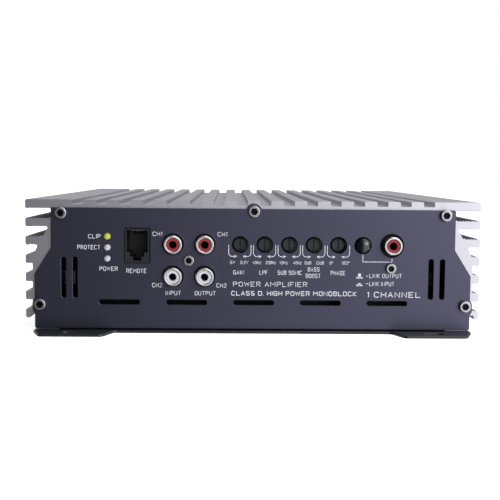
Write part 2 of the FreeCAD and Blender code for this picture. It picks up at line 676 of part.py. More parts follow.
def front_panel():
    """Control panel with its holes and vents."""
    y0, y1 = PANEL_FACE - 1, FRONT + 1
    holes = [cylinder_y(x, z, JACK_HOLE_RADIUS, y0, y1) for x, z in jack_places()]
    holes.append(cylinder_y(LINK_JACK_X, CONTROL_Z, LINK_HOLE_RADIUS, y0, y1))
    holes += [cylinder_y(x, CONTROL_Z, KNOB_HOLE_RADIUS, y0, y1) for x in KNOB_XS + (BUTTON_X,)]
    holes += [cylinder_y(x, z, LED_RADIUS + LED_CLEARANCE, y0, y1) for x, z in led_places()]
    holes += [
        cylinder_y(x, z, JACK_SCREW_RADIUS + PASS_CLEARANCE, y0, y1)
        for x, z in (JACK_SCREW_MID, JACK_SCREW_LINK)
    ]
    half_w, half_h = REMOTE_WIDTH / 2 + PASS_CLEARANCE, REMOTE_HEIGHT / 2 + PASS_CLEARANCE
    holes.append(box(REMOTE_X - half_w, REMOTE_X + half_w, y0, y1, REMOTE_Z - half_h, REMOTE_Z + half_h))
    holes += side_vents(y0, y1) + row_vents(VENT_ROW_Z, y0, y1)
    panel = cut_all(panel_blank(PANEL_FACE, FRONT), holes)
    return break_edges(panel, PANEL_EDGE_BREAK, lambda e: lies_at_y(e, PANEL_FACE))


def rear_panel():
    """Terminal panel with its vents and the windows for terminals and fuses."""
    outer = REAR + PANEL_THICKNESS
    y0, y1 = REAR - 1, outer + 1
    gap = PASS_CLEARANCE
    holes = [
        rounded_box_y(x0 - gap, x1 + gap, y0, y1, BOARD_TOP - gap, TERMINAL_TOP + gap, WINDOW_CORNER)
        for x0, x1 in (terminal_span(POWER_POLES), terminal_span(SPEAKER_POLES), fuse_span())
    ]
    holes += side_vents(y0, y1) + row_vents(PANEL_TOP - REAR_VENT_DROP, y0, y1)
    panel = cut_all(panel_blank(REAR, outer), holes)
    return break_edges(panel, PANEL_EDGE_BREAK, lambda e: lies_at_y(e, outer))


def base_outline():
    """Base plate's outline, with one ear at each corner."""
    half, lip = BASE_HALF_WIDTH, -FRONT + BASE_LIP
    reach = -FRONT + EAR_REACH
    rear_right = [
        (half, lip, BASE_CORNER),
        (half - EAR_TAPER, reach, BASE_CORNER),
        (EAR_INNER_X, reach, EAR_ROUNDING),
        (EAR_INNER_X - EAR_FLARE, lip, EAR_ROUNDING),
    ]
    rear_left = [(-x, y, r) for x, y, r in reversed(rear_right)]
    front = [(-x, -y, r) for x, y, r in rear_right + rear_left]
    return rear_right + rear_left + front


def base_plate():
    """Sheet metal base with slotted ears and countersunk screw holes."""
    plate = prism_z(base_outline(), 0, SHEET)
    tools = []
    for sx in (-1, 1):
        for sy in (-1, 1):
            x, y = sx * SLOT_X, sy * (REAR + SLOT_OUT)
            half_l, half_w, radius = SLOT_LENGTH / 2, SLOT_WIDTH / 2, SLOT_WIDTH / 2 - 1e-3
            corners = [(x - half_l, y - half_w), (x + half_l, y - half_w)]
            corners += [(x + half_l, y + half_w), (x - half_l, y + half_w)]
            tools.append(prism_z([(a, b, radius) for a, b in corners], -1, SHEET + 1))
        for y in BASE_SCREW_ROWS:
            tools.append(countersink(sx * BASE_SCREW_X, y, PASS_CLEARANCE / 2))
            tools.append(cylinder_z(sx * BASE_SCREW_X, y, M3_RADIUS + PASS_CLEARANCE, -1, SHEET + 1))
    plate = cut_all(plate, tools)
    return break_edges(plate, PANEL_EDGE_BREAK, lambda e: lies_at_z(e, SHEET))


# ================================================================ fasteners
def panel_screws(face_y, outward):
    """Five socket screws that hold an end panel. outward is the way that the heads point."""
    screw = socket_screw(
        M3_RADIUS, PANEL_SCREW_LENGTH, PANEL_SCREW_HEAD_RADIUS, PANEL_SCREW_HEAD_HEIGHT, PANEL_SCREW_SOCKET
    )
    return [aimed(screw, V(0, outward, 0), V(x, face_y, z)) for x, z in PORTS]


def jack_screws():
    """Two small screws that tie the jack bodies to the control panel."""
    screw = socket_screw(
        JACK_SCREW_RADIUS, PANEL_SCREW_LENGTH, JACK_SCREW_HEAD_RADIUS, JACK_SCREW_HEAD_HEIGHT, JACK_SCREW_SOCKET
    )
    places = (JACK_SCREW_MID, JACK_SCREW_LINK)
    return [aimed(screw, V(0, -1, 0), V(x, PANEL_FACE, z)) for x, z in places]


def base_screws():
    """Eight countersunk screws, flush with the underside."""
    screws = []
    for side in (-1, 1):
        for y in BASE_SCREW_ROWS:
            x = side * BASE_SCREW_X
            shank = cylinder_z(x, y, M3_RADIUS, COUNTERSINK_DEPTH / 2, SHEET + FLANGE_THICKNESS)
            head = countersink(x, y, 0).fuse(shank).removeSplitter()
            socket = prism_z(hexagon_points(x, y, COUNTERSINK_SOCKET), -1, COUNTERSINK_SOCKET_DEPTH)
            screws.append(head.cut(socket))
    return screws


def board_standoffs():
    """Hexagonal pillars between the base plate and the main board."""
    pillars = []
    for x, y in STANDOFF_PLACES:
        pillar = prism_z(hexagon_points(x, y, STANDOFF_FLATS), SHEET, BOARD_BOTTOM)
        pillars.append(pillar.cut(cylinder_z(x, y, M3_RADIUS + THREAD_CLEARANCE, SHEET + 1, BOARD_TOP)))
    return pillars


def board_screws():
    """Screws that hold the main board to its pillars."""
    screw = socket_screw(
        M3_RADIUS, BOARD_SCREW_LENGTH, INNER_SCREW_HEAD_RADIUS, INNER_SCREW_HEAD_HEIGHT, INNER_SCREW_SOCKET
    )
    return [aimed(screw, V(0, 0, 1), V(x, y, BOARD_TOP)) for x, y in STANDOFF_PLACES]


# ================================================================ boards
def main_board():
    """Main circuit board, drilled for its pillars."""
    x, y0, y1 = BOARD_HALF_WIDTH, FRONT + BOARD_END_GAP, REAR - BOARD_REAR_GAP
    corners = [(a, b, BOARD_CORNER) for a, b in ((-x, y0), (x, y0), (x, y1), (-x, y1))]
    board = prism_z(corners, BOARD_BOTTOM, BOARD_TOP)
    radius = M3_RADIUS + PASS_CLEARANCE
    return cut_all(board, [cylinder_z(a, b, radius, 0, BOARD_TOP + 1) for a, b in STANDOFF_PLACES])


def insulating_sheet():
    """Thin plastic sheet on the base plate, cut out round the pillars."""
    x, y = HALF_WIDTH - FOOT_INSET - FLANGE_WIDTH - SHEET_MARGIN, REAR - SHEET_END_GAP
    z0, z1 = SHEET, SHEET + SHEET_INSULATION
    return cut_all(
        box(-x, x, -y, y, z0, z1),
        [cylinder_z(a, b, SHEET_HOLE_RADIUS, z0 - 1, z1 + 1) for a, b in STANDOFF_PLACES],
    )


def preamp_board():
    """Upright board that carries the jacks, knobs and lamps."""
    x0, x1 = PREAMP_SPAN_X
    return box(x0, x1, PREAMP_FACE, PREAMP_FACE + BOARD_THICKNESS, BOARD_TOP, HEIGHT - PREAMP_TOP_DROP)


def board_header():
    """Pin header in the angle between the preamp board and the main board."""
    x0, y0, z1 = HEADER_START_X, PREAMP_FACE + BOARD_THICKNESS, BOARD_TOP + HEADER_SIZE
    block = box(x0, x0 + HEADER_LENGTH, y0, y0 + HEADER_SIZE, BOARD_TOP, z1)
    pins, half = [], PIN_SIZE / 2
    y = y0 + HEADER_SIZE / 2
    for k in range(PIN_COUNT):
        x = x0 + HEADER_LENGTH / 2 + PIN_PITCH * (k - (PIN_COUNT - 1) / 2)
        pins.append(box(x - half, x + half, y - half, y + half, z1, z1 + PIN_PROUD))
    return block.multiFuse(pins)


def driver_board():
    """Upright driver card with its chips."""
    x0, z0 = DRIVER_START_X, BOARD_TOP + CHIP_MARGIN_Z
    x1, y1 = x0 + DRIVER_LENGTH, DRIVER_Y + BOARD_THICKNESS
    made = [box(x0, x1, DRIVER_Y, y1, BOARD_TOP, BOARD_TOP + DRIVER_HEIGHT)]
    for k in range(CHIP_COUNT):
        x = x0 + CHIP_MARGIN_X + CHIP_PITCH * k
        made.append(box(x, x + CHIP_WIDTH, DRIVER_Y - CHIP_THICKNESS, DRIVER_Y, z0, z0 + CHIP_HEIGHT))
    return made


# ================================================================ jacks
def jack_body(x0, x1, z0, z1, axes, screw):
    """Moulded jack body with seats for the shells and a boss for its screw."""
    body = rounded_box_y(x0, x1, JACK_FACE, PREAMP_FACE, z0, z1, JACK_BODY_CORNER)
    body = body.fuse(cylinder_y(screw[0], screw[1], JACK_BOSS_RADIUS, FRONT, JACK_FACE)).removeSplitter()
    tools = [cylinder_y(x, z, SHELL_BORE, JACK_FACE - 1, SOCKET_END) for x, z in axes]
    hole = JACK_SCREW_RADIUS + THREAD_CLEARANCE
    tools.append(cylinder_y(screw[0], screw[1], hole, FRONT - 1, FRONT + PANEL_SCREW_LENGTH))
    return cut_all(body, tools)


def rca_block():
    """Body of the two by two block of jacks."""
    half_x, half_z = JACK_PITCH_X / 2 + JACK_BODY_MARGIN, JACK_PITCH_Z / 2 + JACK_BODY_MARGIN
    z = CONTROL_Z - JACK_PITCH_Z / 2
    return jack_body(
        JACK_BLOCK_X - half_x, JACK_BLOCK_X + half_x, z - half_z, z + half_z, jack_places(), JACK_SCREW_MID
    )


def link_jack_body():
    """Body of the single jack, which reaches down to its screw."""
    half = JACK_BODY_SIZE / 2
    bottom = JACK_SCREW_LINK[1] - JACK_FOOT_DROP
    axis = [(LINK_JACK_X, CONTROL_Z)]
    return jack_body(LINK_JACK_X - half, LINK_JACK_X + half, bottom, CONTROL_Z + half, axis, JACK_SCREW_LINK)


def jack_shell(x, z):
    """Plated shell that a plug's collar grips."""
    shell = cylinder_y(x, z, SHELL_RADIUS, SHELL_FRONT, JACK_FACE)
    shell = shell.cut(cylinder_y(x, z, SHELL_BORE, SHELL_FRONT - 1, JACK_FACE + 1))
    return break_edges(shell, SHELL_BEVEL, lambda e: lies_at_y(e, SHELL_FRONT))


def jack_insert(x, z):
    """Coloured insulator inside a shell, with the socket for the plug's pin."""
    front = SHELL_FRONT + INSERT_SETBACK
    insert = cylinder_y(x, z, SHELL_BORE, front, SOCKET_END)
    mouth = cylinder_y(x, z, INSERT_BORE, front - 1, SOCKET_END + 1)
    seat = cylinder_y(x, z, SLEEVE_RADIUS, SHELL_FRONT + CONTACT_SETBACK, SOCKET_END + 1)
    insert = insert.cut(mouth.fuse(seat))
    return break_edges(insert, INSERT_BEVEL, lambda e: lies_at_y(e, front))


def jack_contacts():
    """Spring sleeves inside the sockets."""
    front = SHELL_FRONT + CONTACT_SETBACK
    sleeves = []
    for x, z in jack_places() + [(LINK_JACK_X, CONTROL_Z)]:
        sleeve = cylinder_y(x, z, SLEEVE_RADIUS, front, SOCKET_END)
        sleeves.append(sleeve.cut(cylinder_y(x, z, SLEEVE_BORE, front - 1, SOCKET_END - SLEEVE_FLOOR)))
    return sleeves


def remote_outline():
    """Stepped mouth of the remote socket: plug space above, latch channel below, as (x, z, radius)."""
    half, high = [], 0.0
    for half_width, deep in REMOTE_STEPS:
        half += [(half_width, REMOTE_ROOF - high), (half_width, REMOTE_ROOF - deep)]
        high = deep
    right = [(REMOTE_X + a, z, 0) for a, z in half]
    left = [(REMOTE_X - a, z, 0) for a, z in reversed(half)]
    return right + left


def remote_jack_body():
    """Moulded body of the remote socket."""
    half_w, half_h, front = REMOTE_WIDTH / 2, REMOTE_HEIGHT / 2, PANEL_FACE - REMOTE_PROUD
    body = rounded_box_y(
        REMOTE_X - half_w, REMOTE_X + half_w, front, PREAMP_FACE,
        REMOTE_Z - half_h, REMOTE_Z + half_h, REMOTE_CORNER,
    )
    return body.cut(prism_y(remote_outline(), front - 1, PREAMP_FACE - REMOTE_BACK_WALL))


def remote_jack_contacts():
    """Sprung wires that hang from the roof of the remote socket."""
    front, back = PANEL_FACE + REMOTE_WIRE_SINK, PREAMP_FACE - REMOTE_BACK_WALL
    low = REMOTE_ROOF - REMOTE_WIRE_FALL
    outline = [(front, REMOTE_ROOF, 0), (front, REMOTE_ROOF - REMOTE_WIRE, 0), (back, low - REMOTE_WIRE, 0)]
    outline.append((back, low, 0))
    wires = []
    for k in range(REMOTE_WIRE_COUNT):
        x = REMOTE_X + REMOTE_WIRE_PITCH * (k - (REMOTE_WIRE_COUNT - 1) / 2)
        wires.append(prism_x(outline, x - REMOTE_WIRE / 2, x + REMOTE_WIRE / 2))
    return wires


# ================================================================ knobs, button and lamps
def pot_bodies():
    """Five potentiometer bodies with collars for their shafts."""
    bodies = []
    half, front = POT_WIDTH / 2, PREAMP_FACE - POT_DEPTH
    z0, z1 = CONTROL_Z + half - POT_HEIGHT, CONTROL_Z + half
    for x in KNOB_XS:
        body = rounded_box_y(x - half, x + half, front, PREAMP_FACE, z0, z1, POT_CORNER)
        body = body.fuse(cylinder_y(x, CONTROL_Z, POT_COLLAR_RADIUS, front - POT_COLLAR_LENGTH, front))
        end = PREAMP_FACE - POT_BACK_WALL
        bore = cylinder_y(x, CONTROL_Z, SHAFT_RADIUS + RUNNING_CLEARANCE, front - POT_COLLAR_LENGTH - 1, end)
        bodies.append(body.removeSplitter().cut(bore))
    return bodies


def shaft(x):
    """Turning shaft of one control: fluted grip, screwdriver slot, plain journal."""
    tip = PANEL_FACE + SHAFT_RECESS
    grip_end = PREAMP_FACE - POT_DEPTH - POT_COLLAR_LENGTH - GRIP_GAP
    points = []
    for k in range(2 * SHAFT_FLUTES):
        turn = math.pi * k / SHAFT_FLUTES
        radius = SHAFT_RADIUS if k % 2 == 0 else SHAFT_RADIUS - SHAFT_FLUTE_DEPTH
        points.append((x + radius * math.cos(turn), CONTROL_Z + radius * math.sin(turn), 0))
    grip = prism_y(points, tip, grip_end)
    inner, place = SHAFT_RADIUS - SHAFT_BEVEL, V(x, tip, CONTROL_Z)
    rim = Part.makeCone(inner, SHAFT_RADIUS, SHAFT_BEVEL, place, V(0, 1, 0))
    grip = grip.common(rim.fuse(cylinder_y(x, CONTROL_Z, SHAFT_RADIUS, tip + SHAFT_BEVEL, grip_end)))
    journal = cylinder_y(x, CONTROL_Z, SHAFT_RADIUS, grip_end, PREAMP_FACE - POT_BACK_WALL - SHAFT_END_GAP)
    half, reach = SHAFT_SLOT_WIDTH / 2, SHAFT_RADIUS + 1
    slot = box(x - half, x + half, tip - 1, tip + SHAFT_SLOT_DEPTH, CONTROL_Z - reach, CONTROL_Z + reach)
    return grip.fuse(journal).removeSplitter().cut(slot)


def link_switch_body():
    """Push switch behind the button, with the square bore that guides its plunger."""
    half, front = SWITCH_SIZE / 2, PREAMP_FACE - SWITCH_SIZE
    z0, z1 = CONTROL_Z - half, CONTROL_Z + half
    body = rounded_box_y(BUTTON_X - half, BUTTON_X + half, front, PREAMP_FACE, z0, z1, SWITCH_CORNER)
    guide = PLUNGER_SIZE / 2 + PLUNGER_CLEARANCE
    end = PREAMP_FACE - SWITCH_BACK_WALL
    z0, z1 = CONTROL_Z - guide, CONTROL_Z + guide
    return body.cut(box(BUTTON_X - guide, BUTTON_X + guide, front - 1, end, z0, z1))


def link_switch_button():
    """Domed push button on its square plunger."""
    tip = PANEL_FACE - BUTTON_PROUD
    skirt = PREAMP_FACE - SWITCH_SIZE - BUTTON_TRAVEL - BUTTON_STOP_GAP
    cap = cylinder_y(BUTTON_X, CONTROL_Z, BUTTON_RADIUS, tip, skirt)
    dome_radius = (BUTTON_RADIUS**2 + BUTTON_DOME_RISE**2) / (2 * BUTTON_DOME_RISE)
    ball = Part.makeSphere(dome_radius, V(BUTTON_X, tip + dome_radius, CONTROL_Z))
    shank = cylinder_y(BUTTON_X, CONTROL_Z, BUTTON_RADIUS, tip + dome_radius, tip + 3 * dome_radius)
    half = PLUNGER_SIZE / 2
    end = PREAMP_FACE - SWITCH_BACK_WALL - PLUNGER_END_GAP - BUTTON_TRAVEL
    plunger = box(BUTTON_X - half, BUTTON_X + half, skirt, end, CONTROL_Z - half, CONTROL_Z + half)
    return cap.common(ball.fuse(shank)).fuse(plunger).removeSplitter()


def lamp(x, z):
    """Round signal lamp with its collar and two legs."""
    tip, collar = PANEL_FACE - LED_PROUD, FRONT + LED_COLLAR_SETBACK
    collar_end, half = collar + LED_COLLAR_DEPTH, LED_LEG / 2
    bulb = Part.makeSphere(LED_RADIUS, V(x, tip + LED_RADIUS, z))
    bulb = bulb.fuse(cylinder_y(x, z, LED_RADIUS, tip + LED_RADIUS, collar))
    bulb = bulb.fuse(cylinder_y(x, z, LED_RADIUS + LED_COLLAR_WIDTH, collar, collar_end))
    middles = (x - LED_LEG_SPACING / 2, x + LED_LEG_SPACING / 2)
    legs = [box(a - half, a + half, collar_end, PREAMP_FACE, z - half, z + half) for a in middles]
    return bulb.multiFuse(legs).removeSplitter()


# ================================================================ rear terminals
# Each pole: name, distance from the first pole's axis, wire bore radius, set screw radius.
POWER_POLES = {
    "x": 32.0,
    "poles": (("ground", 0.0, 4.25, 3.0), ("remote", 13.6, 2.2, 2.0), ("supply", 27.2, 4.25, 3.0)),
}
SPEAKER_POLES = {"x": -62.0, "poles": (("minus", 0.0, 3.25, 2.5), ("plus", 15.0, 3.25, 2.5))}


def pole_half(bore):
    """Half the width of a pole's metal clamp."""
    return bore + CLAMP_WALL


def terminal_span(group):
    """Left and right faces of a terminal body."""
    first, last = group["poles"][0], group["poles"][-1]
    x0 = group["x"] + first[1] - pole_half(first[2]) - POLE_WALL
    x1 = group["x"] + last[1] + pole_half(last[2]) + POLE_WALL
    return x0, x1


def clamp_block(x, bore, screw):
    """Plated brass clamp with its wire bore and tapped hole."""
    face = TERMINAL_FACE - CLAMP_SETBACK
    half = pole_half(bore)
    back = face - BORE_DEPTH - CLAMP_BACK_WALL
    block = box(x - half, x + half, back, face, CLAMP_BOTTOM, CLAMP_TOP)
    wire = cylinder_y(x, WIRE_Z, bore, face - BORE_DEPTH, face + 1)
    tapped = cylinder_z(x, SCREW_Y, screw + THREAD_CLEARANCE, WIRE_Z, CLAMP_TOP + 1)
    return block.cut(wire).cut(tapped)


def terminal_body(group):
    """Moulded terminal body with a pocket, a wire mouth and a screw well for each pole."""
    x0, x1 = terminal_span(group)
    face = TERMINAL_FACE - CLAMP_SETBACK
    back = face - BORE_DEPTH - CLAMP_BACK_WALL
    body = rounded_box_y(x0, x1, TERMINAL_BACK, TERMINAL_FACE, BOARD_TOP, TERMINAL_TOP, BODY_CORNER)
    body = break_edges(body, BODY_BEVEL, lambda e: lies_at_y(e, TERMINAL_FACE))
    tools = []
    for _, offset, bore, screw in group["poles"]:
        x, half = group["x"] + offset, pole_half(bore)
        tools.append(box(x - half, x + half, back, face, CLAMP_BOTTOM, CLAMP_TOP))
        tools.append(cylinder_y(x, WIRE_Z, bore + MOUTH_CLEARANCE, face - 1, TERMINAL_FACE + 1))
        tools.append(cylinder_z(x, SCREW_Y, screw + WELL_CLEARANCE, CLAMP_TOP - 1, TERMINAL_TOP + 1))
    return cut_all(body, tools)


def terminal_clamps(group):
    """Metal clamps of one terminal body."""
    return [clamp_block(group["x"] + offset, bore, screw) for _, offset, bore, screw in group["poles"]]


def set_screw(x, bore, screw):
    """Socket set screw, its tip just above the wire bore."""
    tip = WIRE_Z + bore + SCREW_REST_GAP
    top = TERMINAL_TOP - SET_SCREW_DROP
    body = cylinder_z(x, SCREW_Y, screw, tip, top)
    body = break_edges(body, SET_SCREW_BEVEL, lambda e: lies_at_z(e, tip) or lies_at_z(e, top))
    return body.cut(prism_z(hexagon_points(x, SCREW_Y, screw), top - SET_SOCKET_DEPTH, top + 1))


# ================================================================ fuses
FUSE_XS = (-FUSE_PITCH / 2, FUSE_PITCH / 2)
FUSE_Z = BOARD_TOP + TERMINAL_HEIGHT / 2


def fuse_span():
    """Left and right faces of the fuse holder."""
    half = FUSE_PITCH / 2 + FUSE_THICKNESS / 2 + FUSE_WALL
    return -half, half


def blade_zs():
    """Middle heights of a fuse's two blades."""
    return (FUSE_Z - BLADE_SPACING / 2, FUSE_Z + BLADE_SPACING / 2)


def fuse_holder():
    """Moulded holder with a pocket and two blade slots for each fuse."""
    x0, x1 = fuse_span()
    face = TERMINAL_FACE - FUSE_PROUD
    body = rounded_box_y(x0, x1, TERMINAL_BACK, face, BOARD_TOP, TERMINAL_TOP, BODY_CORNER)
    body = break_edges(body, BODY_BEVEL, lambda e: lies_at_y(e, face))
    gap = FUSE_CLEARANCE
    head_back = TERMINAL_FACE - FUSE_SINK - FUSE_HEAD
    tools = []
    for x in FUSE_XS:
        half_t, half_w = FUSE_THICKNESS / 2 + gap, FUSE_WIDTH / 2 + gap
        tools.append(box(x - half_t, x + half_t, head_back - gap, face + 1, FUSE_Z - half_w, FUSE_Z + half_w))
        half_t, half_w = BLADE_THICKNESS / 2 + gap, BLADE_WIDTH / 2 + gap
        back = head_back - BLADE_LENGTH - BLADE_END_GAP
        tools += [box(x - half_t, x + half_t, back, head_back, z - half_w, z + half_w) for z in blade_zs()]
    return cut_all(body, tools)


def fuse(x):
    """Blade fuse: moulded head with a hollow in each broad face, two blades."""
    outer = TERMINAL_FACE - FUSE_SINK
    back, shoulder = outer - FUSE_HEAD, outer - FUSE_SHOULDER
    half_t, half_w = FUSE_THICKNESS / 2, FUSE_WIDTH / 2
    right = [(back, half_w), (shoulder, half_w), (outer, half_w - FUSE_STEP)]
    outline = [(y, FUSE_Z + z, FUSE_CORNER) for y, z in right]
    outline += [(y, FUSE_Z - z, FUSE_CORNER) for y, z in reversed(right)]
    head = prism_x(outline, x - half_t, x + half_t)
    y0, y1 = back + FUSE_DISH_MARGIN, outer - FUSE_DISH_MARGIN
    z0, z1 = FUSE_Z - FUSE_DISH_HEIGHT / 2, FUSE_Z + FUSE_DISH_HEIGHT / 2
    dishes = [box(x - half_t - 1, x - half_t + FUSE_DISH_DEPTH, y0, y1, z0, z1)]
    dishes.append(box(x + half_t - FUSE_DISH_DEPTH, x + half_t + 1, y0, y1, z0, z1))
    half_t, half_w = BLADE_THICKNESS / 2, BLADE_WIDTH / 2
    y0, y1 = back - BLADE_LENGTH, back + BLADE_ROOT
    blades = [box(x - half_t, x + half_t, y0, y1, z - half_w, z + half_w) for z in blade_zs()]
    return cut_all(head, dishes).multiFuse(blades).removeSplitter()


# ================================================================ power parts
def clamp_bar_z():
    """Middle height of the clamp bars and their screws."""
    return BOARD_TOP + LEG_LENGTH + TRANSISTOR_BODY / 2


def clamp_hole_end():
    """Blind end of the tapped holes for the clamp screws, short of the wall's outer face."""
    return HALF_WIDTH - LOWER_WALL_INSET - BLIND_WALL


def clamp_screw_rows():
    """Places of the clamp screws, midway between transistors."""
    rows = TRANSISTOR_ROWS
    return tuple((rows[k] + rows[k + 1]) / 2 for k in range(0, len(rows) - 1, 2))


def transistor(y):
    """Power transistor on the right-hand wall: moulded body, tab and three legs."""
    back = INNER_WALL_X - PAD_THICKNESS
    half, bottom = TRANSISTOR_WIDTH / 2, BOARD_TOP + LEG_LENGTH
    top = bottom + TRANSISTOR_BODY
    tab = box(back - TAB_THICKNESS, back, y - half, y + half, bottom + TAB_START, top + TAB_HEIGHT)
    body = box(back - TRANSISTOR_THICKNESS, back - MOULD_SETBACK, y - half, y + half, bottom, top)
    x1 = back - LEG_DEPTH
    middles = [y + LEG_PITCH * k for k in (-1, 0, 1)]
    legs = [box(x1 - LEG_THICKNESS, x1, a - LEG_WIDTH / 2, a + LEG_WIDTH / 2, BOARD_TOP, bottom) for a in middles]
    return tab.multiFuse([body] + legs).removeSplitter()


def clamp_bar():
    """Right-hand bar that presses the transistors to the wall."""
    back = INNER_WALL_X - PAD_THICKNESS - TRANSISTOR_THICKNESS
    overrun = TRANSISTOR_WIDTH / 2 + PAD_OVERRUN
    y0, y1 = TRANSISTOR_ROWS[0] - overrun, TRANSISTOR_ROWS[-1] + overrun
    z0, z1 = clamp_bar_z() - CLAMP_BAR_HEIGHT / 2, clamp_bar_z() + CLAMP_BAR_HEIGHT / 2
    bar = box(back - CLAMP_BAR_THICKNESS, back, y0, y1, z0, z1)
    radius = M3_RADIUS + PASS_CLEARANCE
    holes = [cylinder_x(y, clamp_bar_z(), radius, back - 10, back + 1) for y in clamp_screw_rows()]
    return cut_all(bar, holes)


def thermal_pad():
    """Right-hand insulating pad between the transistors and the wall."""
    overrun = TRANSISTOR_WIDTH / 2 + PAD_OVERRUN
    y0, y1 = TRANSISTOR_ROWS[0] - overrun, TRANSISTOR_ROWS[-1] + overrun
    bottom = BOARD_TOP + LEG_LENGTH
    top = bottom + TRANSISTOR_BODY + TAB_HEIGHT + PAD_MARGIN
    x0, x1 = INNER_WALL_X - PAD_THICKNESS, INNER_WALL_X
    radius = M3_RADIUS + PASS_CLEARANCE
    holes = [cylinder_x(y, clamp_bar_z(), radius, x0 - 1, x1 + 1) for y in clamp_screw_rows()]
    return cut_all(box(x0, x1, y0, y1, bottom, top), holes)


def clamp_screws():
    """Screws through both clamp bars into the side walls."""
    seat = INNER_WALL_X - PAD_THICKNESS - TRANSISTOR_THICKNESS - CLAMP_BAR_THICKNESS
    length = clamp_hole_end() - THREAD_END_GAP - seat
    screw = socket_screw(
        M3_RADIUS, length, INNER_SCREW_HEAD_RADIUS, INNER_SCREW_HEAD_HEIGHT, INNER_SCREW_SOCKET
    )
    rows = clamp_screw_rows()
    right = [aimed(screw, V(-1, 0, 0), V(seat, y, clamp_bar_z())) for y in rows]
    return right + [aimed(screw, V(1, 0, 0), V(-seat, y, clamp_bar_z())) for y in rows]


def both_sides(shapes):
    """Shapes of the right-hand side and their mirror images."""
    return shapes + [mirror_x(s) for s in shapes]


def ring(place, bore, radius, z0, z1, rounding):
    """Ring with rounded edges that lies flat."""
    points = [(bore, z0, rounding), (radius, z0, rounding), (radius, z1, rounding), (bore, z1, rounding)]
    face = rounded_face(points, lambda p: V(place[0] + p.x, place[1], p.y))
    return face.revolve(V(place[0], place[1], 0), V(0, 0, 1), 360)


def toroid_core(place, sizes):
    """Bare ferrite ring, lifted off the board by its winding."""
    bore, radius, height, build = sizes
    z0 = BOARD_TOP + build
    return ring(place, bore, radius, z0, z0 + height, CORE_ROUNDING)


def toroid_winding(place, sizes):
    """Winding that wraps a core all round, as one closed sleeve."""
    bore, radius, height, build = sizes
    outer = ring(place, bore - build, radius + build, BOARD_TOP, BOARD_TOP + height + 2 * build, build)
    return outer.cut(toroid_core(place, sizes))


def can(x, y, radius, height):
    """Electrolytic capacitor: crimped, sleeved can."""
    z0, z1 = BOARD_TOP + CAN_STAND, BOARD_TOP + height
    groove, lid, lip = z0 + CAN_GROOVE_HEIGHT, z1 - CAN_LID_DEPTH, radius - CAN_RIM_WIDTH
    outline = [
        (0, z0, 0),
        (radius, z0, CAN_RIM_RADIUS),
        (radius, groove - CAN_GROOVE_HALF, CAN_LID_BEVEL),
        (radius - CAN_GROOVE_DEPTH, groove, CAN_LID_BEVEL),
        (radius, groove + CAN_GROOVE_HALF, CAN_LID_BEVEL),
        (radius, z1, CAN_RIM_RADIUS),
        (lip, z1, 0),
        (lip - CAN_LID_BEVEL, lid, 0),
        (0, lid, 0),
    ]
    face = rounded_face(outline, lambda p: V(x + p.x, y, p.y))
    body = face.revolve(V(x, y, 0), V(0, 0, 1), 360)
    reach = radius * CAN_LEG_SHARE
    legs = [cylinder_z(a, y, CAN_LEG_RADIUS, BOARD_TOP, z0) for a in (x - reach, x + reach)]
    return body.multiFuse(legs).removeSplitter()


def can_field(field):
    """Rows of equal cans, nearly side by side."""
    x, y, radius, height, columns, rows = field
    step = 2 * radius + CAN_GAP
    return [can(x + step * i, y + step * j, radius, height) for i in range(columns) for j in range(rows)]


def filter_capacitors():
    """Box-shaped film capacitors in a row."""
    blocks = []
    for k in range(FILM_COUNT):
        place = V(FILM_PLACE[0], FILM_PLACE[1] + FILM_PITCH * k, BOARD_TOP)
        block = Part.makeBox(*FILM_SIZE, place)
        blocks.append(block.makeFillet(FILM_ROUNDING, block.Edges))
    return blocks


